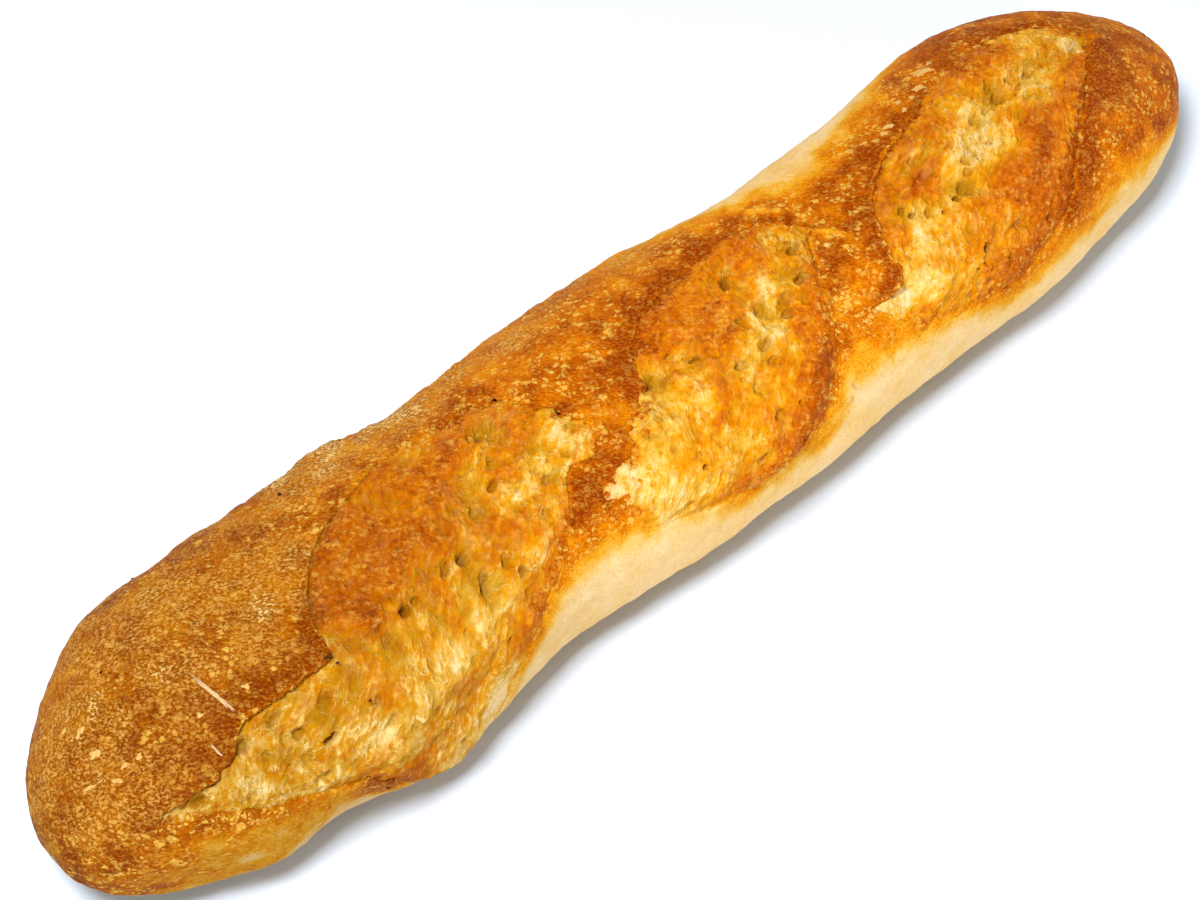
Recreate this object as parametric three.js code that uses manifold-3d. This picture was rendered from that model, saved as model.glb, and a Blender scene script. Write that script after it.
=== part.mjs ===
// A short crusty baguette with three opened slashes, as one closed solid.
// Millimetres, +Z up. The loaf lies along X with its flat base on Z = 0 and its origin
// at the middle of the footprint. Its narrow-waisted body is one skin wrapped round the
// X axis; slashes, lips, folds and blisters are relief on that skin.

import * as THREE from 'three';
import { ImprovedNoise } from 'three/addons/math/ImprovedNoise.js';
import { mergeVertices } from 'three/addons/utils/BufferGeometryUtils.js';
import Module from 'manifold-3d';

// ---- driving dimensions -------------------------------------------------------------

const LOAF_LENGTH = 320;          // tip to tip along X
const CAP_NEAR = 46;              // length of the rounded end at -X
const CAP_FAR = 68;               // length of the longer rounded end at +X
const CAP_ROUNDNESS = 1.95;       // exponent of the ends' outline, 2 is an ellipse
const STATION_PITCH = 40;         // distance between the stations of the three lists below
const HALF_WIDTHS = [31.7, 32.8, 35.1, 31.0, 33.5, 30.5, 29.9, 33.1, 34.7];
const CENTRE_SHIFTS = [-1.8, 2.5, 0.5, 1.4, 1.0, -0.6, -0.1, 2.6, -1.1];
const HEIGHTS = [46.0, 47.7, 48.7, 47.0, 47.0, 46.7, 46.3, 45.3, 44.0];

const CORE_LEVEL = 0.42;          // height of the section's centre, as a share of the height
const UNDERSIDE_DEPTH = 1.12;     // how far the lower half would reach, before the flat cut
const UPPER_SQUARENESS = 2.25;    // superellipse exponents of the two halves of a section
const LOWER_SQUARENESS = 2.7;
const ROLL_RADIUS = 30;           // turns an angle round the loaf into millimetres of crust

const RINGS_MIDDLE = 58;          // rings of the skin between the two rounded ends
const RINGS_NEAR = 12;
const RINGS_FAR = 15;
const COLUMNS = 60;               // columns round the loaf
const CROWN_CROWDING = 0.16;      // share by which columns crowd towards the crown

// A slash is a lens on the unrolled crust: middle and half-length along the cut, half-width
// across it, and the cut's turn from the X axis. Across the loaf, plus is towards -Y. A
// skew makes the lens narrower at its near end than at its far end.
const SLASHES = [
  { x: -82, across: 23, halfLength: 68, halfWidth: 29, skew: 0.35, turn: -10, pillow: 1.6,
    lip: 2.0, groove: 2.4, valley: 1.6, valleyShift: -6 },
  { x: 13, across: 15, halfLength: 43, halfWidth: 22, skew: 0.1, turn: -26, pillow: 2.6,
    lip: 1.8, groove: 2.2, valley: 0.8, valleyShift: -8 },
  { x: 96, across: 11, halfLength: 49, halfWidth: 21, skew: -0.05, turn: -27, pillow: 2.4,
    lip: 1.6, groove: 2.0, valley: 1.9, valleyShift: -4 },
];
const SLASH_ROUNDNESS = 2.1;      // superellipse exponent of a slash's outline
const GROOVE_PLACE = 0.83;        // where the groove runs, as a share of the half-width
const GROOVE_SPREAD = 0.13;
const LIP_EDGE = [0.88, 1.1];     // shares between which the crust rises from groove to lip
const LIP_SPREAD = 5;             // how far a crust lip swells outside its slash
const VALLEY_SPREAD = 4.5;

// Single swellings and hollows of the crust: place, reach along and across, and height.
const SWELLINGS = [
  { x: -81, across: 54, reachX: 12, reachAcross: 7, height: 3.0 },    // folded tab
  { x: -104, across: 54, reachX: 9, reachAcross: 8, height: -1.8 },   // bay beside the tab
  { x: 54, across: 14, reachX: 6, reachAcross: 9, height: 2.0 },      // flap between slashes
  { x: -63, across: -34, reachX: 10, reachAcross: 7, height: 1.2 },   // lobes of the far side
  { x: -96, across: -33, reachX: 9, reachAcross: 7, height: 1.0 },
];

const BLISTER_HEIGHT = 0.45;      // fine unevenness of the browned crust
const BLISTER_SIZE = 7;
const CRUMB_HEIGHT = 1.1;         // coarser, torn unevenness inside the slashes
const CRUMB_SIZE = 8;
const SAG_HEIGHT = 0.7;           // long slow waves of a hand-shaped loaf
const SAG_SIZE = 45;
const RELIEF_FADE_LOW = 6;        // relief dies out between these heights, for a flat base
const RELIEF_FADE_HIGH = 16;

const CRUST_COLOUR = 0xc98432;
const CRUST_ROUGHNESS = 0.72;

// ---- smooth helpers -----------------------------------------------------------------

const noise = new ImprovedNoise();

/** Bell curve that is 1 at zero and dies out over about twice the spread. */
function bell(distance, spread) {
  return Math.exp(-((distance / spread) ** 2));
}

/** Value of a station list at x, on a Catmull-Rom curve through the stations. */
function alongStations(values, x) {
  const last = values.length - 1;
  const place = THREE.MathUtils.clamp(x / STATION_PITCH + last / 2, 0, last);
  const i = Math.min(Math.floor(place), last - 1);
  const t = place - i;
  const before = values[Math.max(i - 1, 0)];
  const after = values[Math.min(i + 2, last)];
  const slopeIn = (values[i + 1] - before) / 2;
  const slopeOut = (after - values[i]) / 2;
  const rise = values[i + 1] - values[i];
  const quadratic = 3 * rise - 2 * slopeIn - slopeOut;
  const cubic = slopeIn + slopeOut - 2 * rise;
  return values[i] + t * (slopeIn + t * (quadratic + t * cubic));
}

/** Share of the full section left at x: 1 in the middle, 0 at the two tips. */
function endTaper(x) {
  const half = LOAF_LENGTH / 2;
  const intoNear = THREE.MathUtils.clamp((CAP_NEAR - half - x) / CAP_NEAR, 0, 1);
  const intoFar = THREE.MathUtils.clamp((x - half + CAP_FAR) / CAP_FAR, 0, 1);
  const round = (share) => Math.max(1 - share ** CAP_ROUNDNESS, 0) ** (1 / CAP_ROUNDNESS);
  return round(intoNear) * round(intoFar);
}

// ---- the crust's relief -------------------------------------------------------------

/** Relief of one slash: its lens of risen crumb, the groove round it and its raised lip. */
function slashRelief(slash, x, across) {
  const turn = THREE.MathUtils.degToRad(slash.turn);
  const dx = x - slash.x;
  const dy = across - slash.across;
  const along = dx * Math.cos(turn) + dy * Math.sin(turn);
  const beside = dy * Math.cos(turn) - dx * Math.sin(turn);
  const reach = THREE.MathUtils.clamp(along / slash.halfLength, -1, 1);
  const halfWidth = slash.halfWidth * (1 + slash.skew * reach);
  const share = (Math.abs(along / slash.halfLength) ** SLASH_ROUNDNESS
    + Math.abs(beside / halfWidth) ** SLASH_ROUNDNESS) ** (1 / SLASH_ROUNDNESS);
  const inside = Math.max(1 - share * share, 0);
  const outside = Math.max(share - 1, 0) * halfWidth;
  const lipSide = THREE.MathUtils.smoothstep(-beside / halfWidth, -0.1, 0.6);
  const lipEdge = THREE.MathUtils.smoothstep(share, LIP_EDGE[0], LIP_EDGE[1]);
  const lip = slash.lip * lipSide * lipEdge * bell(outside, LIP_SPREAD);
  const groove = slash.groove * bell(share - GROOVE_PLACE, GROOVE_SPREAD);
  const valley = slash.valley * bell(beside - slash.valleyShift, VALLEY_SPREAD) * inside;
  const torn = CRUMB_HEIGHT * Math.min(inside * 3, 1)
    * noise.noise(x / CRUMB_SIZE, across / CRUMB_SIZE, slash.halfLength);
  return slash.pillow * inside + lip - groove - valley + torn;
}

/** Height of the relief over the plain skin, at a place on the unrolled crust. */
function relief(x, across) {
  let height = SAG_HEIGHT * noise.noise(x / SAG_SIZE, across / SAG_SIZE, 0.5);
  height += BLISTER_HEIGHT * noise.noise(x / BLISTER_SIZE, across / BLISTER_SIZE, 2.5);
  for (const slash of SLASHES) {
    height += slashRelief(slash, x, across);
  }
  for (const s of SWELLINGS) {
    height += s.height * bell(x - s.x, s.reachX) * bell(across - s.across, s.reachAcross);
  }
  return height;
}

// ---- the skin -----------------------------------------------------------------------

/** Point of the skin at x, turned by angle from the crown towards -Y. */
function skinPoint(x, angle) {
  const height = alongStations(HEIGHTS, x);
  const core = CORE_LEVEL * height;
  const upper = Math.cos(angle) >= 0;
  const reach = upper ? height - core : core * UNDERSIDE_DEPTH;
  const squareness = upper ? UPPER_SQUARENESS : LOWER_SQUARENESS;
  const halfWidth = alongStations(HALF_WIDTHS, x);
  const plain = (Math.abs(Math.sin(angle) / halfWidth) ** squareness
    + Math.abs(Math.cos(angle) / reach) ** squareness) ** (-1 / squareness);
  const taper = endTaper(x);
  const level = core + plain * taper * Math.cos(angle);
  const fade = THREE.MathUtils.smoothstep(level, RELIEF_FADE_LOW, RELIEF_FADE_HIGH);
  const radius = plain * taper + relief(x, ROLL_RADIUS * angle) * fade * taper;
  return new THREE.Vector3(
    x,
    alongStations(CENTRE_SHIFTS, x) - radius * Math.sin(angle),
    core + radius * Math.cos(angle),
  );
}

/** X of every ring, from the near tip's first ring to the far tip's last one. */
function ringPlaces() {
  const half = LOAF_LENGTH / 2;
  const places = [];
  for (let i = 1; i < RINGS_NEAR; i += 1) {
    places.push(-half + CAP_NEAR * (1 - Math.cos((i / RINGS_NEAR) * Math.PI / 2)));
  }
  const start = CAP_NEAR - half;
  const span = LOAF_LENGTH - CAP_NEAR - CAP_FAR;
  for (let i = 0; i <= RINGS_MIDDLE; i += 1) {
    places.push(start + span * (i / RINGS_MIDDLE));
  }
  for (let i = RINGS_FAR - 1; i > 0; i -= 1) {
    places.push(half - CAP_FAR * (1 - Math.cos((i / RINGS_FAR) * Math.PI / 2)));
  }
  return places;
}

/** Angle of a column from the crown, with the columns closer together near the crown. */
function columnAngle(column) {
  const turn = (column / COLUMNS) * 2 * Math.PI - Math.PI;
  return turn - CROWN_CROWDING * Math.sin(turn) * 2;
}

/** Closed skin of rings between two tip points, before the base is cut flat. */
function loafSkin() {
  const half = LOAF_LENGTH / 2;
  const places = ringPlaces();
  const points = [];
  for (const x of places) {
    for (let column = 0; column < COLUMNS; column += 1) {
      points.push(skinPoint(x, columnAngle(column)));
    }
  }
  const nearTip = points.length;
  points.push(skinPoint(-half, 0));
  const farTip = points.length;
  points.push(skinPoint(half, 0));

  const faces = [];
  for (let ring = 0; ring + 1 < places.length; ring += 1) {
    for (let column = 0; column < COLUMNS; column += 1) {
      const next = (column + 1) % COLUMNS;
      const a = ring * COLUMNS + column;
      const b = ring * COLUMNS + next;
      const c = a + COLUMNS;
      const d = b + COLUMNS;
      faces.push(a, d, c, a, b, d);
    }
  }
  const lastRing = (places.length - 1) * COLUMNS;
  for (let column = 0; column < COLUMNS; column += 1) {
    const next = (column + 1) % COLUMNS;
    faces.push(nearTip, next, column);
    faces.push(farTip, lastRing + column, lastRing + next);
  }
  const geometry = new THREE.BufferGeometry().setFromPoints(points);
  geometry.setIndex(faces);
  return geometry;
}

// ---- the flat base ------------------------------------------------------------------

const wasm = await Module();
wasm.setup();

/** Turns a closed three.js geometry into a solid that can be cut. */
function toSolid(geometry) {
  const bare = geometry.clone();
  bare.deleteAttribute('normal');
  bare.deleteAttribute('uv');
  const merged = mergeVertices(bare);
  return new wasm.Manifold(new wasm.Mesh({
    numProp: 3,
    vertProperties: new Float32Array(merged.attributes.position.array),
    triVerts: new Uint32Array(merged.index.array),
  }));
}

/** Turns a cut solid back into a three.js geometry. */
function toGeometry(solid) {
  const mesh = solid.getMesh();
  const geometry = new THREE.BufferGeometry();
  geometry.setAttribute('position', new THREE.BufferAttribute(mesh.vertProperties, 3));
  geometry.setIndex(new THREE.BufferAttribute(mesh.triVerts, 1));
  geometry.computeVertexNormals();
  return geometry;
}

/** The loaf: its skin, with all that would reach below the baking stone cut away. */
function loafGeometry() {
  const stone = new THREE.BoxGeometry(2 * LOAF_LENGTH, LOAF_LENGTH, LOAF_LENGTH);
  stone.translate(0, 0, -LOAF_LENGTH / 2);
  const cut = toGeometry(toSolid(loafSkin()).subtract(toSolid(stone)));
  cut.computeBoundingBox();
  const middle = cut.boundingBox.getCenter(new THREE.Vector3());
  return cut.translate(-middle.x, -middle.y, 0);
}

const crust = new THREE.MeshStandardMaterial({
  color: CRUST_COLOUR,
  roughness: CRUST_ROUGHNESS,
  metalness: 0,
});
const loaf = new THREE.Mesh(loafGeometry(), crust);
loaf.name = 'loaf';

const baguette = new THREE.Group();
baguette.add(loaf);

export default baguette;
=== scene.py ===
"""A short crusty baguette on a pale studio floor.

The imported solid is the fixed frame. The loaf's skin and the three blooms of torn crumb
that have risen out of its slashes are surfaces worked out in millimetres with numpy, and
put into meshes in metres. Places on the crust are given on the unrolled skin: x along the
loaf, and across from the crown, plus towards -Y.
"""

import logging
import math
from dataclasses import astuple, dataclass
from enum import Enum
from functools import partial, reduce

import bpy
import numpy as np
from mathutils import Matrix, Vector


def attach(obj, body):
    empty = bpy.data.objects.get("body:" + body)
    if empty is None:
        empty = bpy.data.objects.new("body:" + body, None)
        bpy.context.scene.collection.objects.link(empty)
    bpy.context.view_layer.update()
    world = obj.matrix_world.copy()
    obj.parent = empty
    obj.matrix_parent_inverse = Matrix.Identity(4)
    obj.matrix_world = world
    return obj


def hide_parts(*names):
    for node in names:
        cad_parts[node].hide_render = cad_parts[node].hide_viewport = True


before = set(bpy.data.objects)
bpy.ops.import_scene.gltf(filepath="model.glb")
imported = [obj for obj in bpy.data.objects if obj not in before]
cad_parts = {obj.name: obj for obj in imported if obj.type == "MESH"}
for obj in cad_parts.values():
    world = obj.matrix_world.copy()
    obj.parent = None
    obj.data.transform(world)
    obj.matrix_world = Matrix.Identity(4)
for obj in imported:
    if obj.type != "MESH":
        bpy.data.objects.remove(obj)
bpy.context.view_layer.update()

log = logging.getLogger("baguette")

MM = 0.001
LOAF_NODE = "loaf"
ROOT_BODY = "root"

Array = np.ndarray
Object = bpy.types.Object
Socket = bpy.types.NodeSocket
Colour = tuple[float, float, float, float]


# ---- small formulas -------------------------------------------------------------------


def smooth_step(values: Array, low: float, high: float) -> Array:
    """S-shaped rise from 0 at low to 1 at high.

    Args:
        values: Where to read the rise.
        low: Value at which it starts.
        high: Value at which it ends; below low it falls instead.

    Returns:
        The rise, 3t^2 - 2t^3 of the share t between the limits.
    """
    t = np.clip((values - low) / (high - low), 0.0, 1.0)
    return t * t * (3.0 - 2.0 * t)


def bell(values: Array, spread: float | Array) -> Array:
    """Bell curve exp(-(value / spread)^2)."""
    return np.exp(-((values / spread) ** 2))


def unit(vectors: Array) -> Array:
    """Vectors brought to a length of one."""
    return vectors / np.maximum(np.linalg.norm(vectors, axis=-1, keepdims=True), 1e-6)


def blend(first: Array, second: Array, share: Array) -> Array:
    """Mix of two arrays of colours or numbers by a share from 0 to 1."""
    if np.ndim(first) > np.ndim(share) or np.ndim(second) > np.ndim(share):
        share = share[..., None]
    return first + (second - first) * share


def along_stations(values: tuple[float, ...], pitch: float, x: Array) -> Array:
    """Value of a station list at x, on a Catmull-Rom curve through the stations.

    Args:
        values: One value for each station, the middle one at x = 0.
        pitch: Distance between stations.
        x: Where to read the curve.

    Returns:
        The curve's value at each x, held level past the two end stations.
    """
    table = np.asarray(values, float)
    last = len(table) - 1
    place = np.clip(x / pitch + last / 2, 0, last)
    i = np.minimum(place.astype(int), last - 1)
    t = place - i
    before, start = table[np.maximum(i - 1, 0)], table[i]
    end, after = table[i + 1], table[np.minimum(i + 2, last)]
    slope_in, slope_out, rise = (end - before) / 2, (after - start) / 2, end - start
    square = 3 * rise - 2 * slope_in - slope_out
    return start + t * (slope_in + t * (square + t * (slope_in + slope_out - 2 * rise)))


def closed_curve(points: Array, steps: int) -> Array:
    """Closed Catmull-Rom curve through points.

    Args:
        points: Control points, one row each, with any number of columns.
        steps: Points of the curve for each control point.

    Returns:
        The curve's points, each column interpolated alike.
    """
    t = (np.arange(steps) / steps)[None, :, None]
    a, b = np.roll(points, 1, 0)[:, None], points[:, None]
    c, d = np.roll(points, -1, 0)[:, None], np.roll(points, -2, 0)[:, None]
    curve = b + 0.5 * t * (c - a + t * (2 * a - 5 * b + 4 * c - d + t * (3 * (b - c) + d - a)))
    return curve.reshape(-1, points.shape[1])


def stroke_distance(line: tuple[tuple[float, float], ...], x: Array, across: Array) -> Array:
    """Distance from each place to a line of straight stretches on the unrolled crust.

    Args:
        line: Corners of the line, as x and across.
        x: Place along the loaf.
        across: Place round it.

    Returns:
        The distance to the nearest point of the line.
    """
    nearest = np.full(np.shape(x), np.inf)
    for (x0, y0), (x1, y1) in zip(line[:-1], line[1:]):
        dx, dy = x1 - x0, y1 - y0
        share = np.clip(((x - x0) * dx + (across - y0) * dy) / (dx * dx + dy * dy), 0, 1)
        gap = np.hypot(x - x0 - share * dx, across - y0 - share * dy)
        nearest = np.minimum(nearest, gap)
    return nearest


# ---- repeatable noise -----------------------------------------------------------------

EDGE_DIRECTIONS = np.array(
    [(a, b, 0) for a in (1, -1) for b in (1, -1)]
    + [(a, 0, b) for a in (1, -1) for b in (1, -1)]
    + [(0, a, b) for a in (1, -1) for b in (1, -1)]
    + [(1, 1, 0), (-1, 1, 0), (0, -1, 1), (0, -1, -1)],
    float,
)


@dataclass(frozen=True)
class Grain:
    """Noise that depends on its seed and the place alone, so every run is the same."""

    seed: int

    def scramble(self, cells: Array) -> Array:
        """Well mixed 32-bit number for each whole-number cell, one row of three each.

        Args:
            cells: Corners of the cells, three columns.

        Returns:
            One unsigned number for each cell.
        """
        c = cells.astype(np.int64).astype(np.uint32)
        mixed = c[..., 0] * np.uint32(0x9E3779B1)
        mixed ^= c[..., 1] * np.uint32(0x85EBCA77)
        mixed ^= c[..., 2] * np.uint32(0xC2B2AE3D)
        mixed ^= np.uint32((self.seed * 0x27D4EB2F) & 0xFFFFFFFF)
        mixed ^= mixed >> np.uint32(15)
        mixed *= np.uint32(0x2C1B3C6D)
        mixed ^= mixed >> np.uint32(12)
        mixed *= np.uint32(0x297A2D39)
        mixed ^= mixed >> np.uint32(15)
        return mixed

    def soft(self, points: Array) -> Array:
        """Gradient noise: one random slope at each cell corner, blended between corners.

        Args:
            points: Places in cells, three columns.

        Returns:
            Noise of about -1 to 1, with lumps about one cell across.
        """
        base = np.floor(points)
        part = points - base
        ease = part * part * part * (part * (part * 6 - 15) + 10)
        total = np.zeros(points.shape[:-1])
        for corner in np.ndindex(2, 2, 2):
            step = np.array(corner, float)
            slopes = EDGE_DIRECTIONS[self.scramble(base + step) & np.uint32(15)]
            reach = (slopes * (part - step)).sum(-1)
            share = np.abs(1 - step - ease).prod(-1)
            total += reach * share
        return total

    def layers(self, points: Array, octaves: int, gain: float = 0.5) -> Array:
        """Sum of soft noise at doubling fineness, each layer weaker by the gain.

        Args:
            points: Places in cells of the coarsest layer.
            octaves: Number of layers.
            gain: Height of each layer as a share of the one before.

        Returns:
            The sum at each place.
        """
        total = np.zeros(points.shape[:-1])
        weight = 1.0
        for octave in range(octaves):
            total += weight * self.soft(points * 2.0**octave + 17.3 * octave)
            weight *= gain
        return total

    def ridges(self, points: Array) -> Array:
        """Sharp-crested noise, 1 on its crests and falling to about 0 between them."""
        return 1.0 - np.minimum(np.abs(self.soft(points)) * 2.2, 1.0)

    def bubbles(self, points: Array) -> tuple[Array, Array]:
        """Flat cell noise, with one random point in each cell of x and y.

        Args:
            points: Places in cells; the third column only picks the layer.

        Returns:
            The distance to the nearest random point, and that point's own number 0 to 1.
        """
        base = np.floor(points)
        nearest = np.full(points.shape[:-1], 9.0)
        tag = np.zeros(points.shape[:-1])
        for dx, dy in np.ndindex(3, 3):
            cell = base + np.array((dx - 1, dy - 1, 0), float)
            mixed = self.scramble(cell)
            px = cell[..., 0] + (mixed & np.uint32(1023)) / 1023.0
            py = cell[..., 1] + ((mixed >> np.uint32(10)) & np.uint32(1023)) / 1023.0
            gap = np.hypot(points[..., 0] - px, points[..., 1] - py)
            closer = gap < nearest
            nearest = np.where(closer, gap, nearest)
            tag = np.where(closer, (mixed >> np.uint32(20)) / 4095.0, tag)
        return nearest, tag


def on_skin(x: Array, across: Array, size_x: float, size_across: float, layer: float) -> Array:
    """Places on the unrolled crust as noise cells of the given sizes, on one layer."""
    return np.stack([x / size_x, across / size_across, np.full(np.shape(x), layer)], -1)


# ---- the plain loaf -------------------------------------------------------------------


@dataclass(frozen=True)
class LoafBody:
    """The loaf's plain skin: superellipse sections on a slightly wandering axis."""

    length: float = 320.0
    cap_near: float = 46.0
    cap_far: float = 68.0
    cap_roundness: float = 1.95
    pitch: float = 40.0
    half_widths: tuple[float, ...] = (31.7, 32.8, 35.1, 31.0, 33.5, 30.5, 29.9, 33.1, 34.7)
    centre_shifts: tuple[float, ...] = (-1.6, 2.7, 0.7, 1.6, 1.2, -0.4, 0.1, 2.8, -0.9)
    heights: tuple[float, ...] = (46.0, 47.7, 48.7, 47.0, 47.0, 46.7, 46.3, 45.3, 44.0)
    core_level: float = 0.42
    underside_depth: float = 1.12
    upper_squareness: float = 2.25
    lower_squareness: float = 2.7
    roll_radius: float = 30.0
    base_softness: float = 1.2
    box: tuple[float, float, float] = (159.9, 36.1, 50.1)

    def taper(self, x: Array) -> Array:
        """Share of the full section left at x: an ellipse's arc over each rounded end.

        Args:
            x: Place along the loaf.

        Returns:
            The share, 1 between the ends and 0 at the tips.
        """
        half = self.length / 2
        near = np.clip((self.cap_near - half - x) / self.cap_near, 0, 1)
        far = np.clip((x - half + self.cap_far) / self.cap_far, 0, 1)
        power = self.cap_roundness
        return ((1 - near**power) * (1 - far**power)) ** (1 / power)

    def place(self, x: Array, across: Array) -> Array:
        """Point of the plain skin, at the section's superellipse radius from its core.

        Args:
            x: Place along the loaf.
            across: Place round it from the crown, as an arc of the roll radius.

        Returns:
            Points in millimetres, three columns. They reach below the floor.
        """
        x = np.clip(x, -self.length / 2, self.length / 2)
        angle = across / self.roll_radius
        height = along_stations(self.heights, self.pitch, x)
        core = self.core_level * height
        upper = np.cos(angle) >= 0
        reach = np.where(upper, height - core, core * self.underside_depth)
        power = np.where(upper, self.upper_squareness, self.lower_squareness)
        half_width = along_stations(self.half_widths, self.pitch, x)
        sideways = np.abs(np.sin(angle) / half_width) ** power
        radius = (sideways + np.abs(np.cos(angle) / reach) ** power) ** (-1 / power)
        radius = radius * self.taper(x)
        shift = along_stations(self.centre_shifts, self.pitch, x)
        y = shift - radius * np.sin(angle)
        return np.stack([x, y, core + radius * np.cos(angle)], -1)

    def axes(self, x: Array, across: Array) -> tuple[Array, Array, Array]:
        """Unit directions of the plain skin: outwards, along x, and across.

        Args:
            x: Place along the loaf.
            across: Place round it.

        Returns:
            Three arrays of unit vectors, from the differences over a short step.
        """
        step = 0.4
        along = self.place(x + step, across) - self.place(x - step, across)
        over = self.place(x, across + step) - self.place(x, across - step)
        along, over = unit(along), unit(over)
        return unit(np.cross(over, along)), along, over

    def settle(self, points: Array) -> Array:
        """Presses the underside flat: z becomes half of z plus its softened size.

        The last millimetre before the sides of the box is approached more and more slowly.

        Args:
            points: Points in millimetres.

        Returns:
            The points, above the floor and inside the box.
        """
        settled = points.copy()
        z = points[..., 2]
        settled[..., 2] = (z + np.sqrt(z * z + self.base_softness**2)) / 2
        inner = np.array(self.box) - 1
        excess = np.maximum(np.abs(settled) - inner, 0)
        return np.sign(settled) * (np.minimum(np.abs(settled), inner) + 1 - np.exp(-excess))


# ---- the slashes ----------------------------------------------------------------------


@dataclass(frozen=True)
class RimForm:
    """How the crust ends along one stretch of a slash."""

    lip: float
    """Height to which the crust curls up."""
    recess: float
    """Depth at which the crumb starts below the crust."""
    ragged: float
    """How far the torn edge wanders."""
    toast: float
    """Extra browning of the crust's edge, 0 to 1."""
    gap: float
    # How dark the gap between crust and crumb is painted, as shade under the crust's edge, 0 to 1.
    """How dark the gap between crust and crumb is, 0 to 1."""


class Rim(Enum):
    """The kinds of edge round a slash."""

    EAR = RimForm(lip=1.4, recess=1.0, ragged=0.8, toast=0.9, gap=0.15)
    CRACK = RimForm(lip=0.6, recess=1.0, ragged=0.3, toast=0.3, gap=1.0)
    TORN = RimForm(lip=0.35, recess=0.5, ragged=1.7, toast=0.3, gap=0.15)
    FOLD = RimForm(lip=0.4, recess=0.45, ragged=0.8, toast=1.1, gap=0.4)
    FUSED = RimForm(lip=0.1, recess=0.2, ragged=0.8, toast=0.2, gap=0.1)
    SOFT = RimForm(lip=0.0, recess=0.3, ragged=0.9, toast=0.05, gap=0.0)
    LEDGE = RimForm(lip=0.3, recess=0.75, ragged=1.1, toast=0.12, gap=0.0)


@dataclass(frozen=True)
class Patch:
    """A round patch on the unrolled crust that pulls a quality towards its own value."""

    x: float
    across: float
    reach: float
    value: float


@dataclass(frozen=True)
class Pit:
    """An oval hole in the crumb."""

    x: float
    across: float
    half_length: float
    half_width: float
    turn: float
    depth: float


@dataclass(frozen=True)
class Fold:
    """A ridge, or a valley where its height is below zero, along a line on the crumb."""

    line: tuple[tuple[float, float], ...]
    height: float
    reach: float
    toast: float


@dataclass(frozen=True)
class Slash:
    """One cut in the crust: its outline, and the crumb that has risen out of it."""

    name: str
    seed: int
    axis_turn: float
    pillow: float
    outline: tuple[tuple[float, float, Rim], ...]
    toasts: tuple[Patch, ...]
    pits: tuple[Pit, ...]
    folds: tuple[Fold, ...]
    hollows: tuple[Patch, ...]
    curve_steps: int = 12

    def rim_curve(self) -> Array:
        """Closed outline: x, across, and the five numbers of the rim's form.

        Returns:
            The points of a smooth curve through the outline, one row each.
        """
        rows = [(x, across, *astuple(rim.value)) for x, across, rim in self.outline]
        curve = closed_curve(np.array(rows), self.curve_steps)
        curve[:, 2:] = np.maximum(curve[:, 2:], 0.0)
        return curve


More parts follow.
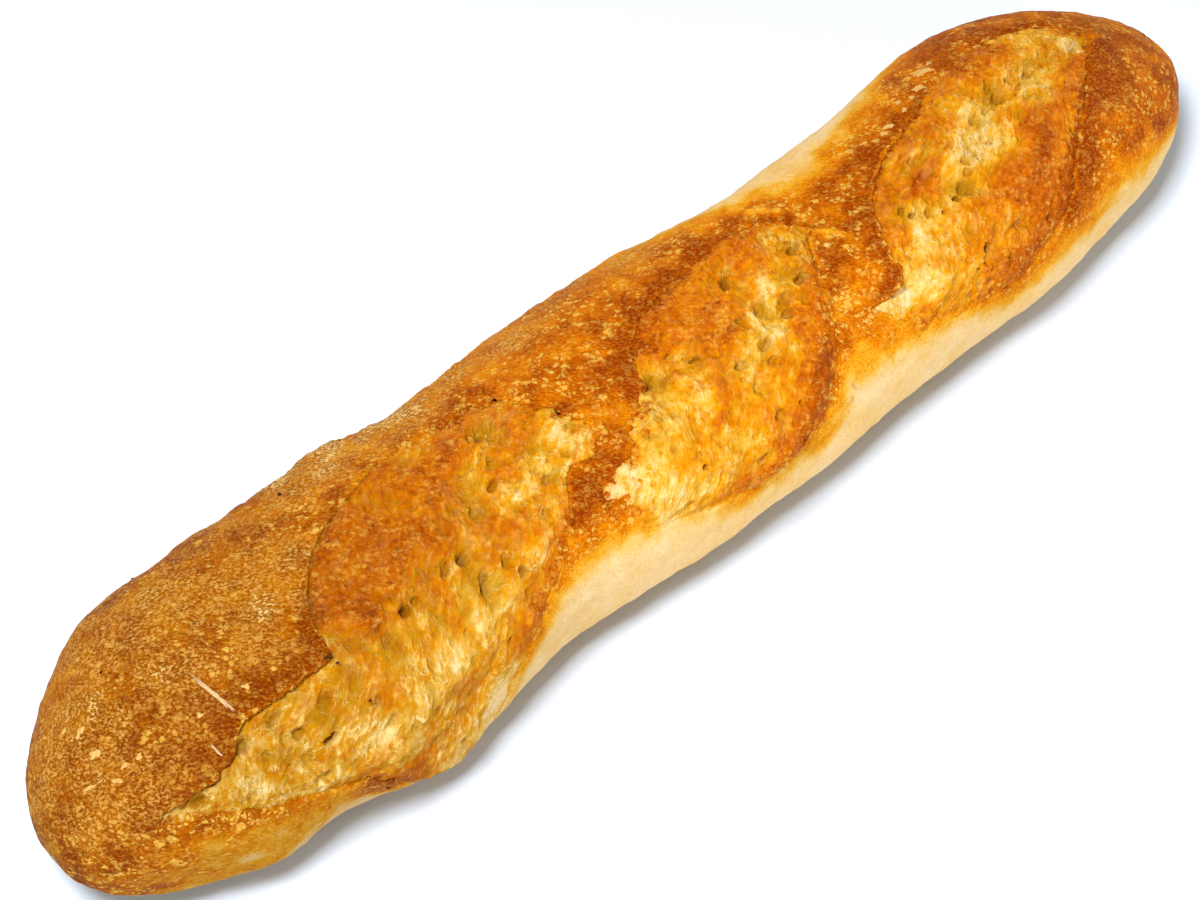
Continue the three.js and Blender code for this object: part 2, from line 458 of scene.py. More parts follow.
class SlashField:
    """Signed distance to a slash's torn edge, and the form of its rim, on a raster."""

    pitch: float = 0.4
    margin: float = 18.0
    tear_cell: float = 3.4
    tear_height: float = 1.3

    def __init__(self, slash: Slash) -> None:
        """Works the raster out once, from the slash's outline.

        Args:
            slash: The slash to measure.
        """
        curve = slash.rim_curve()
        self.low = curve[:, :2].min(0) - self.margin
        high = curve[:, :2].max(0) + self.margin
        counts = np.ceil((high - self.low) / self.pitch).astype(int) + 1
        x = self.low[0] + self.pitch * np.arange(counts[0])
        across = self.low[1] + self.pitch * np.arange(counts[1])
        grid_x, grid_across = np.meshgrid(x, across, indexing="ij")
        rows = [self._measure(curve, row_x, row_a) for row_x, row_a in zip(grid_x, grid_across)]
        self.layers = np.array(rows)
        grain = Grain(slash.seed)
        cells = on_skin(grid_x, grid_across, self.tear_cell, self.tear_cell, 0.5)
        tear = self.tear_height * grain.layers(cells, 3, 0.62)
        self.layers[..., 0] += self.layers[..., 3] * tear
        slope_x, slope_across = np.gradient(self.layers[..., 0], self.pitch)
        size = np.maximum(np.hypot(slope_x, slope_across), 0.3)
        slopes = np.stack([slope_x / size, slope_across / size], -1)
        self.layers = np.concatenate([self.layers, slopes], -1)

    @staticmethod
    def _measure(curve: Array, x: Array, across: Array) -> Array:
        """Distance to the curve, less than zero inside it, and the nearest rim's form.

        Args:
            curve: The closed outline, one row for each point.
            x: Place along the loaf.
            across: Place round it.

        Returns:
            Six columns: signed distance and the five numbers of the form.
        """
        start, end = curve[:, :2], np.roll(curve[:, :2], -1, 0)
        way = end - start
        dx, dy = x[:, None] - start[:, 0], across[:, None] - start[:, 1]
        share = (dx * way[:, 0] + dy * way[:, 1]) / np.maximum((way**2).sum(-1), 1e-9)
        share = np.clip(share, 0, 1)
        gap = np.hypot(dx - share * way[:, 0], dy - share * way[:, 1])
        best = gap.argmin(1)
        distance = gap[np.arange(len(x)), best]
        spans = (start[:, 1] > across[:, None]) != (end[:, 1] > across[:, None])
        rise = np.where(np.abs(way[:, 1]) < 1e-9, 1e-9, way[:, 1])
        crossing = start[:, 0] + dy * way[:, 0] / rise
        inside = (spans & (x[:, None] < crossing)).sum(1) % 2 == 1
        signed = np.where(inside, -distance, distance)
        return np.column_stack([signed, curve[best, 2:]])

    def read(self, x: Array, across: Array) -> Array:
        """Blend of the four raster corners round each place.

        Args:
            x: Place along the loaf.
            across: Place round it.

        Returns:
            Eight columns: distance, lip, recess, raggedness, toast, painted gap shade and the two
            slopes of the distance. Far from the slash the distance is the margin.
        """
        gx = (x - self.low[0]) / self.pitch
        gy = (across - self.low[1]) / self.pitch
        limit = np.array(self.layers.shape[:2]) - 1.001
        outside = (gx < 0) | (gy < 0) | (gx > limit[0]) | (gy > limit[1])
        gx, gy = np.clip(gx, 0, limit[0]), np.clip(gy, 0, limit[1])
        i, j = gx.astype(int), gy.astype(int)
        s, t = (gx - i)[..., None], (gy - j)[..., None]
        near = self.layers[i, j] * (1 - t) + self.layers[i, j + 1] * t
        far = self.layers[i + 1, j] * (1 - t) + self.layers[i + 1, j + 1] * t
        values = near * (1 - s) + far * s
        values[..., 0] = np.where(outside, self.margin, values[..., 0])
        return values


def rim_points(rim: Rim, *places: tuple[float, float]) -> tuple[tuple[float, float, Rim], ...]:
    """Points of an outline that share one kind of rim, from rows of x and across."""
    return tuple((x, across, rim) for x, across in places)


def patches(reach: float, *rows: tuple[float, float, float]) -> tuple[Patch, ...]:
    """Patches of one reach, from rows of x, across and value."""
    return tuple(Patch(x, across, reach, value) for x, across, value in rows)


def marks(*rows: tuple[float, float, float, float]) -> tuple[Patch, ...]:
    """Patches from rows of x, across, reach and value."""
    return tuple(Patch(*row) for row in rows)


def pits(*rows: tuple[float, float, float, float, float, float]) -> tuple[Pit, ...]:
    """Pits from rows of x, across, half length, half width, turn and depth."""
    return tuple(Pit(*row) for row in rows)


def patch_value(patches: tuple[Patch, ...], x: Array, across: Array) -> Array:
    """Mean of the patches' values, each weighted by its bell curve round its middle.

    Args:
        patches: The patches.
        x: Place along the loaf.
        across: Place round it.

    Returns:
        The mean at each place, one of the nearest patch far from all.
    """
    total = np.zeros(np.shape(x))
    weight = np.full(np.shape(x), 1e-9)
    for patch in patches:
        share = bell(np.hypot(x - patch.x, across - patch.across), patch.reach) + 1e-7
        total += share * patch.value
        weight += share
    return total / weight


def patch_sum(patches: tuple[Patch, ...], x: Array, across: Array) -> Array:
    """Sum of the patches' values, each fading out by its bell curve.

    Args:
        patches: The patches.
        x: Place along the loaf.
        across: Place round it.

    Returns:
        The sum at each place.
    """
    total = np.zeros(np.shape(x))
    for patch in patches:
        total += patch.value * bell(np.hypot(x - patch.x, across - patch.across), patch.reach)
    return total


TOAST_REACH = 3.8

NEAR_SLASH = Slash(
    name="near",
    seed=11,
    axis_turn=-10.0,
    pillow=0.8,
    outline=(
        *rim_points(Rim.TORN, (-147.5, 25)),
        *rim_points(
            Rim.EAR,
            (-134.4, 23.8), (-127.5, 23.2), (-121, 20.5), (-116.5, 17.8), (-103.1, 17.4),
            (-96, 15.6),
        ),
        *rim_points(Rim.CRACK, (-93.6, 8), (-89.5, 0.5), (-84, -5.5), (-76, -9.6), (-64.3, -13.9)),
        *rim_points(Rim.FUSED, (-56, -15.4), (-45.7, -14)),
        *rim_points(Rim.TORN, (-33, -13), (-26.1, -6.5), (-21.5, 1.8), (-18, 8.5)),
        *rim_points(Rim.SOFT, (-22, 15)),
        *rim_points(Rim.TORN, (-28.6, 15.6)),
        *rim_points(Rim.EAR, (-31.5, 20)),
        *rim_points(
            Rim.FUSED,
            (-36.6, 26.5), (-46.6, 34), (-52.3, 39.5), (-60, 46), (-65, 53), (-75, 59.5),
        ),
        *rim_points(Rim.TORN, (-86, 58.5)),
        *rim_points(Rim.LEDGE, (-94, 51), (-100.5, 44), (-108, 41.8)),
        *rim_points(Rim.LEDGE, (-117.5, 38.5), (-127, 34.5)),
        *rim_points(Rim.SOFT, (-136, 30)),
    ),
    toasts=patches(
        TOAST_REACH,
        (-146, 26, 0.23), (-140, 27, 0.28), (-136, 25, 0.26), (-135, 31, 0.48), (-127, 25, 0.27),
        (-129, 33, 0.3), (-120, 24, 0.24), (-122, 31, 0.19), (-123, 36, 0.23), (-114, 20, 0.33),
        (-116, 30, 0.35), (-111, 33, 0.35), (-116, 37, 0.21), (-107, 22, 0.33), (-108, 29, 0.28),
        (-105, 31, 0.33), (-109, 37, 0.17), (-107, 42, 0.35), (-101, 19, 0.43), (-101, 25, 0.4),
        (-95, 27, 0.39), (-95, 34, 0.29), (-94, 43, 0.4), (-97, 47, 0.78), (-93, 8, 0.78),
        (-90, 16, 0.35), (-90, 26, 0.45), (-93, 37, 0.23), (-92, 51, 0.78), (-81, -5, 0.73),
        (-86, 6, 0.65), (-86, 12, 0.81), (-83, 29, 0.28), (-82, 39, 0.35), (-81, 45, 0.4),
        (-86, 53, 0.4), (-76, -2, 0.71), (-76, 9, 0.74), (-79, 21, 0.43), (-76, 37, 0.5),
        (-77, 48, 0.15), (-80, 56, 0.25), (-70, 6, 0.72), (-70, 15, 0.6), (-74, 15, 0.35),
        (-70, 22, 0.42), (-75, 29, 0.27), (-74, 43, 0.43), (-63, 9, 0.71), (-66, 14, 0.3),
        (-66, 36, 0.4), (-68, 41, 0.24), (-59, -10, 0.67), (-62, -4, 0.52), (-61, 26, 0.26),
        (-58, 38, 0.53), (-53, -12, 0.42), (-52, -4, 0.71), (-56, 3, 0.67), (-57, 9, 0.38),
        (-56, 16, 0.48), (-51, 22, 0.32), (-51, 27, 0.5), (-57, 30, 0.44), (-47, -12, 0.45),
        (-48, 4, 0.32), (-49, 10, 0.49), (-50, 16, 0.55), (-47, 27, 0.36), (-50, 36, 0.7),
        (-45, -7, 0.71), (-39, -4, 0.3), (-44, 0, 0.45), (-40, 8, 0.66), (-42, 13, 0.16),
        (-44, 18, 0.53), (-41, 24, 0.6), (-43, 31, 0.69), (-37, -16, 0.68), (-36, -12, 0.5),
        (-36, 1, 0.5), (-36, 16, 0.43), (-30, -10, 0.47), (-31, 0, 0.6), (-33, 8, 0.28),
        (-28, 13, 0.3), (-32, 23, 0.78), (-25, 5, 0.27), (-20, 10, 0.35), (-61, 46, 0.05),
        (-64, 50, 0.02), (-68, 49, 0.1),
    ),
    pits=pits(
        (-37.8, -5.7, 3.4, 2.8, 0, 1.5), (-38.7, -4.5, 1.3, 1, 0, 2.4),
        (-30.2, -12.4, 1.6, 1.1, -20, 1.5), (-34.5, -7.2, 2, 0.8, 20, 1.2),
        (-41.5, 3.2, 2.2, 1.5, -50, 1.5), (-44.5, 7.2, 1.6, 1, -20, 1.9),
        (-51.4, 9.5, 1.6, 1.2, -50, 1.3), (-40, 19.1, 1.8, 1.1, -50, 1.4),
        (-26.8, 11.2, 1.8, 1.2, 10, 1.3), (-33.8, 13.3, 1.8, 1.2, -20, 1.3),
        (-64.9, 15.7, 1.8, 1.2, -50, 2), (-60.2, 16.2, 1.6, 1.3, -50, 2.8),
        (-52.9, 21.8, 1.4, 1, -50, 1.6), (-50.8, 25.3, 1.5, 1.1, -50, 2.2),
        (-59.4, 22.7, 2.9, 0.9, -55, 2.4), (-51.4, 32.5, 1.8, 1, -50, 1.6),
        (-44.5, 29.2, 1.2, 0.8, -50, 1.2), (-77, 17.4, 1.3, 1.2, -50, 2.8),
        (-73.7, 17.1, 0.9, 0.8, -50, 1.8), (-83.8, 20.2, 1.6, 1, -50, 1.4),
        (-94.5, 20.2, 1.5, 1, -20, 1.4), (-101.7, 23.6, 1.8, 1.2, -20, 1.6),
        (-105, 30.7, 1, 0.7, 0, 1.8), (-103.4, 30.3, 0.8, 0.6, 0, 1.5),
        (-109.2, 36.9, 2, 1.2, -5, 1.4), (-118.3, 26.3, 1.6, 1.1, -5, 1.2),
        (-121, 22.2, 2.3, 1.3, -20, 1.9), (-133.9, 26.4, 2.2, 1.1, -5, 1.8),
        (-129, 23.6, 2, 1.2, -20, 1.8), (-112, 20.9, 2, 1.2, -20, 1.6),
        (-109.7, 26.4, 1.4, 0.9, -5, 1.4), (-91.9, 28.9, 1.3, 0.7, -50, 1.4),
        (-78.6, -8.6, 0.5, 0.5, 0, 1.2), (-49.9, -10.2, 0.6, 0.5, 0, 1.2),
        (-53.5, -9.9, 0.5, 0.4, 0, 1), (-68.9, 28, 1.2, 0.7, -50, 1.4),
        (-60.2, 35.6, 0.9, 0.6, -50, 1.2), (-78.9, 28.6, 1.1, 0.6, -50, 1.2),
    ),
    folds=(
        Fold(((-30, 16), (-46, 24), (-60, 29), (-72, 32), (-84, 34), (-94, 43)), 1.3, 2.6, -0.12),
        Fold(((-66, 38), (-76, 44), (-86, 46)), -1.0, 3.4, 0.06),
        Fold(((-92, 18), (-78, 15), (-66, 14), (-57, 9), (-50, 1), (-46, -8)), 0.7, 2.0, 0.1),
        Fold(((-104, 20), (-92, 26), (-78, 27)), -0.9, 2.8, -0.05),
    ),
    hollows=marks(
        (-29, -12, 2.6, 0.8), (-37, -4, 3, 0.8), (-49, 5, 3, 1), (-51, 10, 3, 0.9),
        (-59, 15, 3.2, 0.9), (-31, 5, 2.2, 0.8), (-33, 14, 2.2, 0.6), (-76, 17, 3, 0.9),
        (-59, 25, 3.4, 0.7), (-60, 20, 2.6, 0.8), (-79, 9, 2.4, 0.6), (-72, 23, 3, 0.6),
        (-84, 21, 3.4, 0.8), (-103, 26, 3.4, 1), (-92, 32, 3, 0.5), (-128, 21, 3, 0.8),
        (-124, 33, 2.6, 0.4), (-139, 24, 2.4, 0.7), (-96, 24, 3.2, 0.6), (-112, 31, 3, 0.5),
    ),
)

MIDDLE_SLASH = Slash(
    name="middle",
    seed=23,
    axis_turn=-26.0,
    pillow=2.2,
    outline=(
        *rim_points(Rim.TORN, (50.5, -4), (46.9, -8.3)),
        *rim_points(Rim.FUSED, (38.1, -13.5), (26.4, -12.2)),
        *rim_points(Rim.FOLD, (17.4, -10.3), (6.4, -6.2), (-0.5, -0.9)),
        *rim_points(Rim.EAR, (-3.9, 4.8)),
        *rim_points(Rim.TORN, (-5.2, 9.2), (-8.3, 12.3), (-14.4, 14), (-16, 18)),
        *rim_points(Rim.SOFT, (-20.5, 20.2), (-26.8, 21.6)),
        *rim_points(Rim.TORN, (-23, 29.1)),
        *rim_points(Rim.SOFT, (-18.7, 35.4), (-11.8, 38.2)),
        *rim_points(
            Rim.FUSED,
            (-0.8, 40.7), (9.3, 42.4), (19.9, 41.8), (27, 38.4), (32.6, 33), (37, 27.4),
            (40.9, 20.7), (44.5, 13.2),
        ),
        *rim_points(Rim.EAR, (46, 6), (49, 1.5)),
    ),
    toasts=patches(
        TOAST_REACH,
        (-22, 25, 0.04), (-17, 21, 0.17), (-20, 31, 0.3), (-18, 36, 0.38), (-11, 17, 0.32),
        (-12, 27, 0.28), (-5, 14, 0.12), (-15, 35, 0.04), (-11, 38, 0.33), (-6, 11, 0.23),
        (-3, 19, 0.33), (-4, 25, 0.26), (-7, 34, 0.21), (-3, 39, 0.52), (1, 9, 0.42), (0, 27, 0.4),
        (-1, 33, 0.31), (5, 2, 0.74), (6, 11, 0.31), (3, 18, 0.26), (8, 18, 0.4), (6, 31, 0.21),
        (6, 35, 0.52), (4, 41, 0.6), (10, 0, 0.64), (11, 10, 0.5), (14, 19, 0.27), (10, 23, 0.66),
        (12, 25, 0.24), (13, 41, 0.61), (18, 0, 0.7), (16, 10, 0.76), (20, 15, 0.29),
        (15, 23, 0.42), (15, 30, 0.52), (22, -7, 0.61), (23, -3, 0.45), (21, 10, 0.52),
        (26, 12, 0.19), (23, 20, 0.6), (22, 28, 0.45), (23, 36, 0.69), (32, -1, 0.54),
        (28, 7, 0.49), (27, 22, 0.32), (30, 27, 0.84), (29, 33, 0.8), (34, -8, 0.63),
        (34, 6, 0.19), (38, 11, 0.55), (33, 18, 0.62), (38, 24, 0.95), (44, -3, 0.34),
        (39, 3, 0.42), (43, 8, 0.5),
    ),
    pits=pits(
        (25.8, -1.4, 2.3, 1.2, -52, 2.7), (27.7, 8, 2.3, 1.5, -40, 1.6),
        (43.6, 0.7, 2, 1.2, -20, 2.2), (43.9, -1.6, 0.9, 0.7, 0, 1.6),
        (39.4, 8, 1.5, 1.1, -50, 2.2), (33.2, 9.8, 2.2, 1.3, -35, 1.9),
        (32, 12.7, 1.6, 1.2, -50, 1.8), (23.6, 15.7, 1.8, 1.3, -20, 1.8),
        (16.2, 17, 1.6, 1, -5, 1.5), (7.7, 10.6, 0.8, 0.5, 0, 1.8), (9, 10.7, 0.6, 0.5, 0, 1.5),
        (-2.7, 8.7, 2.2, 1.3, -40, 2.3), (15.2, 23.1, 1, 0.8, 0, 1.4),
        (16.8, 29.6, 1.3, 1.1, 0, 1.6), (22.7, 29.9, 0.6, 0.5, 0, 1.5),
        (20.2, 37.1, 1, 0.7, -20, 1.4), (22.4, 40.1, 0.7, 0.5, -20, 1.2),
        (9.3, 35.2, 1.2, 0.9, 0, 1.3), (-3.9, 29.6, 0.6, 0.5, 0, 1.8),
        (-10.2, 35, 1.2, 0.9, 0, 1.5), (-12.4, 35.6, 1.2, 0.8, 0, 1.3),
        (-9.9, 18.4, 1.8, 1, -5, 1.2), (22.4, 19.9, 1.4, 0.9, -20, 1.3),
        (23, 8.2, 1.6, 1, -20, 1.2), (32, 20.4, 0.7, 0.5, 0, 1.4), (14, 19.6, 0.8, 0.5, 0, 1.2),
        (17.1, -9.4, 0.5, 0.4, 0, 1.2), (19, 9.3, 1.3, 0.8, -20, 1.2),
    ),
    folds=(
        Fold(((6, 4), (0, 10), (-4, 14)), -1.2, 3.0, 0.0),
        Fold(((12, 8), (10, 16), (4, 24), (-6, 26)), 0.9, 1.6, 0.12),
        Fold(((30, -2), (29, 8), (24, 16), (18, 22)), -1.1, 3.2, -0.1),
        Fold(((42, 8), (38, 20), (30, 30), (18, 38), (4, 40)), 0.8, 2.4, 0.1),
    ),
    hollows=marks(
        (-2, 8, 3.4, 1), (8, 10, 2.4, 0.8), (29, 11, 2.4, 0.8), (38, 6, 3, 0.7),
        (43, -1, 2.6, 0.9), (16, 16, 3, 0.7), (7, 30, 2.6, 0.5), (-11, 36, 2.6, 0.4),
        (-2, 13, 2.6, 0.7), (20, 4, 2.6, 0.5), (-8, 20, 3, 0.4),
    ),
)

FAR_SLASH = Slash(
    name="far",
    seed=37,
    axis_turn=-27.0,
    pillow=2.0,
    outline=(
        *rim_points(Rim.TORN, (140.5, -5.5)),
        *rim_points(
            Rim.FUSED,
            (136, -12.5), (129, -17.8), (119.8, -17.1), (111.1, -15.8), (102.6, -14.6),
            (95, -12.4),
        ),
        *rim_points(Rim.FOLD, (84, -8.9), (73.7, -4.8), (66.6, 0.8)),
        *rim_points(Rim.EAR, (61.2, 8.1), (59, 16.5), (57.6, 22)),
        *rim_points(Rim.TORN, (50.4, 22.6), (52.9, 27.6), (59.1, 33.8)),
        *rim_points(Rim.FUSED, (68, 37.7), (78.1, 40), (85.6, 40.6), (93.2, 38.3), (101.9, 35.2)),
        *rim_points(Rim.FOLD, (107.6, 31), (113, 26.5), (118.6, 21), (126, 14.5)),
        *rim_points(Rim.EAR, (134.5, 5.5)),
    ),
    toasts=patches(
        TOAST_REACH,
        (56, 26, 0.12), (61, 17, 0.45), (58, 33, 0.72), (67, 5, 0.55), (64, 13, 0.65),
        (66, 21, 0.36), (64, 26, 0.1), (65, 32, 0.45), (66, 39, 0.75), (73, 2, 0.65),
        (70, 12, 0.22), (73, 18, 0.28), (74, 22, 0.62), (72, 25, 0.4), (73, 32, 0.39),
        (76, -4, 0.6), (76, 0, 0.3), (79, 6, 0.7), (78, 22, 0.45), (80, 33, 0.6), (77, 42, 0.72),
        (83, -5, 0.55), (84, 1, 0.27), (84, 8, 0.28), (86, 22, 0.57), (84, 38, 0.69),
        (89, -6, 0.45), (89, -1, 0.68), (92, 4, 0.23), (88, 14, 0.4), (89, 28, 0.43),
        (91, 35, 0.78), (95, -5, 0.4), (96, 0, 0.62), (98, 1, 0.12), (93, 9, 0.12), (99, 11, 0.25),
        (93, 18, 0.73), (97, 24, 0.72), (98, 29, 0.74), (100, -11, 0.55), (103, -6, 0.75),
        (101, -5, 0.2), (102, 16, 0.67), (104, 24, 0.73), (102, 35, 0.77), (109, -10, 0.6),
        (106, -2, 0.3), (111, -1, 0.55), (105, 8, 0.39), (108, 14, 0.79), (109, 30, 0.82),
        (114, -2, 0.27), (114, 7, 0.27), (111, 9, 0.56), (115, 17, 0.35), (122, -12, 0.25),
        (117, -8, 0.78), (120, -5, 0.3), (121, 5, 0.3), (122, 15, 0.62), (116, 20, 0.72),
        (133, 5, 0.8), (122, 24, 0.82), (129, -19, 0.37), (126, -7, 0.48), (123, 2, 0.45),
        (124, 8, 0.64), (129, -12, 0.17), (135, -4, 0.1), (130, 3, 0.45), (130, 10, 0.57),
        (135, -14, 0.6), (139, -9, 0.7), (141, -1, 0.9), (138, 5, 0.85),
    ),
    pits=pits(
        (84.3, 14.3, 2, 1.5, -80, 1.9), (81.4, 14.4, 1.1, 0.8, 20, 2.4),
        (70.3, 11.1, 0.9, 0.8, 0, 2.2), (68.9, 8.8, 1.5, 0.8, -60, 2),
        (76.7, 15, 0.6, 0.4, 0, 1.8), (73.7, 12.8, 1.2, 0.7, -50, 1.2),
        (80.5, 27.3, 1.1, 0.8, -40, 2.4), (85.1, 32.4, 1.1, 0.6, -70, 2.4),
        (73.1, 34.8, 1.3, 1, 0, 1.1), (76.4, 30, 0.5, 0.4, 0, 1.4), (98, 30.7, 0.9, 0.6, -30, 1.6),
        (100.7, 29, 2, 0.9, -30, 1.1), (90.4, 27.8, 2, 1, 25, 1.2),
        (102.4, -10.8, 1.3, 0.9, -20, 1), (98.2, -11.4, 0.7, 0.5, 0, 1),
        (107.2, -2.6, 1.8, 1.4, -50, 1.8), (106.7, 1.4, 1.8, 1.3, -80, 2.2),
        (112.2, -0.7, 1.5, 0.6, 80, 1.4), (78.6, 1.1, 1.7, 0.8, -60, 1.8),
        (96.7, 9.3, 1.1, 0.6, -20, 1.4), (92.9, 10.7, 1.1, 0.7, -5, 1.4),
        (89.1, 9, 1.3, 0.8, 80, 1.7), (87.8, 11.1, 1.2, 0.9, -50, 1.5),
        (126.8, -14.6, 0.8, 0.6, 0, 1.6), (127.3, -4.4, 1.3, 1, -20, 1.1),
        (124.4, -3.9, 1.4, 0.8, -80, 1.2), (131.8, -7.4, 0.5, 0.4, 0, 1.2),
        (118.1, 0.1, 2, 1.3, -50, 1.7), (112.2, -0.3, 1.5, 0.7, 80, 1.6),
        (114.2, 2.1, 0.9, 0.6, 0, 1.3), (110.8, 4.6, 0.9, 0.8, 0, 1.2),
        (118.3, 13.4, 0.5, 0.4, 0, 1.8), (121.2, 17.3, 1, 0.8, 0, 1.2),
        (115.7, 19.6, 1.3, 0.8, -85, 2.7), (92.9, 9.8, 0.8, 0.5, 10, 1.4),
        (102.2, 2.2, 1.2, 0.8, -20, 1.2), (98.2, 1.7, 1.4, 0.9, -20, 0.9),
        (93.5, 3.7, 0.9, 0.6, -50, 1.2),
    ),
    folds=(
        Fold(
            ((139, -3), (118, 0), (105, 1), (94, 6), (85, 11), (75, 13), (66, 18), (58, 25)),
            -1.5,
            4.2,
            -0.1,
        ),
        Fold(((128, 4), (118, 12), (110, 17), (100, 21)), 0.9, 2.4, 0.12),
        Fold(((112, -13), (98, -9), (86, -3), (76, 3)), 0.8, 2.6, 0.08),
        Fold(((70, 8), (78, 5), (88, 4)), 0.6, 1.4, 0.2),
    ),
    hollows=marks(
        (106, 0, 3.2, 1), (120, -3, 2.8, 0.8), (99, 3, 2.8, 0.8), (83, 13, 3.4, 1),
        (73, 12, 3, 0.9), (69, 10, 2.6, 0.9), (128, -8, 2.4, 0.5), (89, 28, 2.6, 0.5),
        (92, 7, 2.6, 0.7), (78, 12, 2.4, 0.5),
    ),
)

SLASHES = (NEAR_SLASH, MIDDLE_SLASH, FAR_SLASH)


# ---- colours --------------------------------------------------------------------------


def to_linear(screen: Array) -> Array:
    """Linear colour of a screen colour from 0 to 1, by the sRGB curve."""
    return np.where(screen <= 0.04045, screen / 12.92, ((screen + 0.055) / 1.055) ** 2.4)


@dataclass(frozen=True)
class Ramp:
    """Screen colours (0 to 255) at rising places from 0 to 1."""

    stops: tuple[tuple[float, int, int, int], ...]

    def read(self, place: Array) -> Array:
        """Colour at each place, straight between the stops, from 0 to 1."""
        table = np.array(self.stops, float)
        channels = [np.interp(place, table[:, 0], table[:, c]) / 255 for c in (1, 2, 3)]
        return np.stack(channels, -1)


CRUST_RAMP = Ramp(
    (
        (0, 250, 220, 168), (0.18, 245, 200, 118), (0.34, 240, 170, 44), (0.5, 232, 142, 8),
        (0.64, 216, 118, 0), (0.8, 192, 94, 0), (1, 156, 62, 0),
    )
)
CRUMB_RAMP = Ramp(
    (
        (0, 247, 214, 158), (0.2, 243, 192, 96), (0.34, 236, 166, 34), (0.48, 226, 142, 4),
        (0.62, 214, 118, 0), (0.76, 197, 97, 0), (1, 150, 60, 0),
    )
)
FLOUR_FILM = np.array((198, 130, 30)) / 255
# Painted shade: olive of shaded hollows and pits in the crumb, as light seen through thin crumb.
OLIVE_HOLLOW_SHADE = np.array((190, 134, 18)) / 255
# Painted shade: dark brown at the bottoms of the deepest pits.
DARK_HOLLOW_SHADE = np.array((140, 74, 0)) / 255


# ---- meshes ---------------------------------------------------------------------------


def in_scene(name: str, data: bpy.types.ID) -> Object:
    """New object at the origin that shows a mesh, a lamp or a camera.

    Args:
        name: Name of the object.
        data: What it shows.

    Returns:
        The object, in the scene.
    """
    thing = bpy.data.objects.new(name, data)
    bpy.context.scene.collection.objects.link(thing)
    return thing


def new_piece(name: str, points: Array, quads: Array, triangles: Array) -> Object:
    """New smooth object at the origin, in metres.

    Args:
        name: Name of the object and its mesh.
        points: Points in millimetres, one row each.
        quads: Four point numbers for each four-sided face, turning left seen from outside.
        triangles: Three point numbers for each triangle.

    Returns:
        The new object.
    """
    mesh = bpy.data.meshes.new(name)
    mesh.vertices.add(len(points))
    mesh.vertices.foreach_set("co", (points * MM).astype(np.float32).ravel())
    corners = np.concatenate([quads.ravel(), triangles.ravel()])
    sizes = np.repeat([4, 3], [len(quads), len(triangles)])
    mesh.loops.add(len(corners))
    mesh.loops.foreach_set("vertex_index", corners.astype(np.int32))
    mesh.polygons.add(len(sizes))
    starts = np.concatenate([[0], np.cumsum(sizes)[:-1]])
    mesh.polygons.foreach_set("loop_start", starts.astype(np.int32))
    mesh.polygons.foreach_set("use_smooth", np.ones(len(sizes), bool))
    mesh.update(calc_edges=True)
    mesh.validate()
    return in_scene(name, mesh)


def rings_and_fans(index: Array, first: int, last: int) -> tuple[Array, Array]:
    """Faces of a tube of rings that is closed at both ends.

    Args:
        index: Point numbers, by ring and by column round it. Seen from the last ring, the
            columns run so that the faces point out.
        first: Number of the point that closes the first ring.
        last: Number of the point that closes the last ring.

    Returns:
        The quads between the rings, and the triangles of the two end fans.
    """
    after = np.roll(index, -1, 1)
    quads = np.stack([index[:-1], index[1:], after[1:], after[:-1]], -1).reshape(-1, 4)
    start_fan = np.stack([np.full_like(index[0], first), index[0], after[0]], -1)
    end_fan = np.stack([np.full_like(index[0], last), after[-1], index[-1]], -1)
    return quads, np.concatenate([start_fan, end_fan])


def closed_tube(name: str, rings: Array, first_tip: Array, last_tip: Array) -> Object:
    """Piece of rings joined into a tube, closed by a fan of triangles at each tip.

    Args:
        name: Name of the new object.
        rings: Points in millimetres, indexed by ring and by column round it.
        first_tip: Point that closes the first ring.
        last_tip: Point that closes the last ring.

    Returns:
        The new object, at the origin, in metres.
    """
    index = np.arange(rings[..., 0].size).reshape(rings.shape[:2])
    quads, fans = rings_and_fans(index, index.size, index.size + 1)
    points = np.concatenate([rings.reshape(-1, 3), first_tip[None], last_tip[None]])
    return new_piece(name, points, quads, fans)


def closed_lenses(name: str, points: Array) -> Object:
    """Piece of many small closed lenses.

    Args:
        name: Name of the new object.
        points: Points in millimetres, indexed by lens, ring and column; the first and the
            last ring of each lens are poles, of which one point is kept.

    Returns:
        The new object, at the origin, in metres.
    """
    lenses, ring_count, columns = points.shape[:3]
    size = (ring_count - 2) * columns + 2
    index = np.arange(1, size - 1).reshape(ring_count - 2, columns)
    quads, fans = rings_and_fans(index, 0, size - 1)
    starts = (np.arange(lenses) * size)[:, None, None]
    quads, fans = (quads + starts).reshape(-1, 4), (fans + starts).reshape(-1, 3)
    return new_piece(name, lens_values(points), quads, fans)


def lens_values(grid: Array) -> Array:
    """Values of many lenses' points in mesh order, with one kept for each pole."""
    columns = grid.shape[2]
    flat = grid.reshape(len(grid), -1, grid.shape[-1])
    return flat[:, columns - 1 : flat.shape[1] - columns + 1].reshape(-1, grid.shape[-1])


def paint(piece: Object, name: str, screen: Array) -> None:
    """Stores a screen colour for each point of a piece as a linear colour attribute.

    Args:
        piece: The piece to paint.
        name: Name that its material reads.
        screen: Colours from 0 to 1, one row for each point.
    """
    linear = to_linear(np.clip(screen, 0, 1))
    rows = np.concatenate([linear, np.ones((len(linear), 1))], 1)
    layer = piece.data.color_attributes.new(name, "FLOAT_COLOR", "POINT")
    layer.data.foreach_set("color", rows.astype(np.float32).ravel())


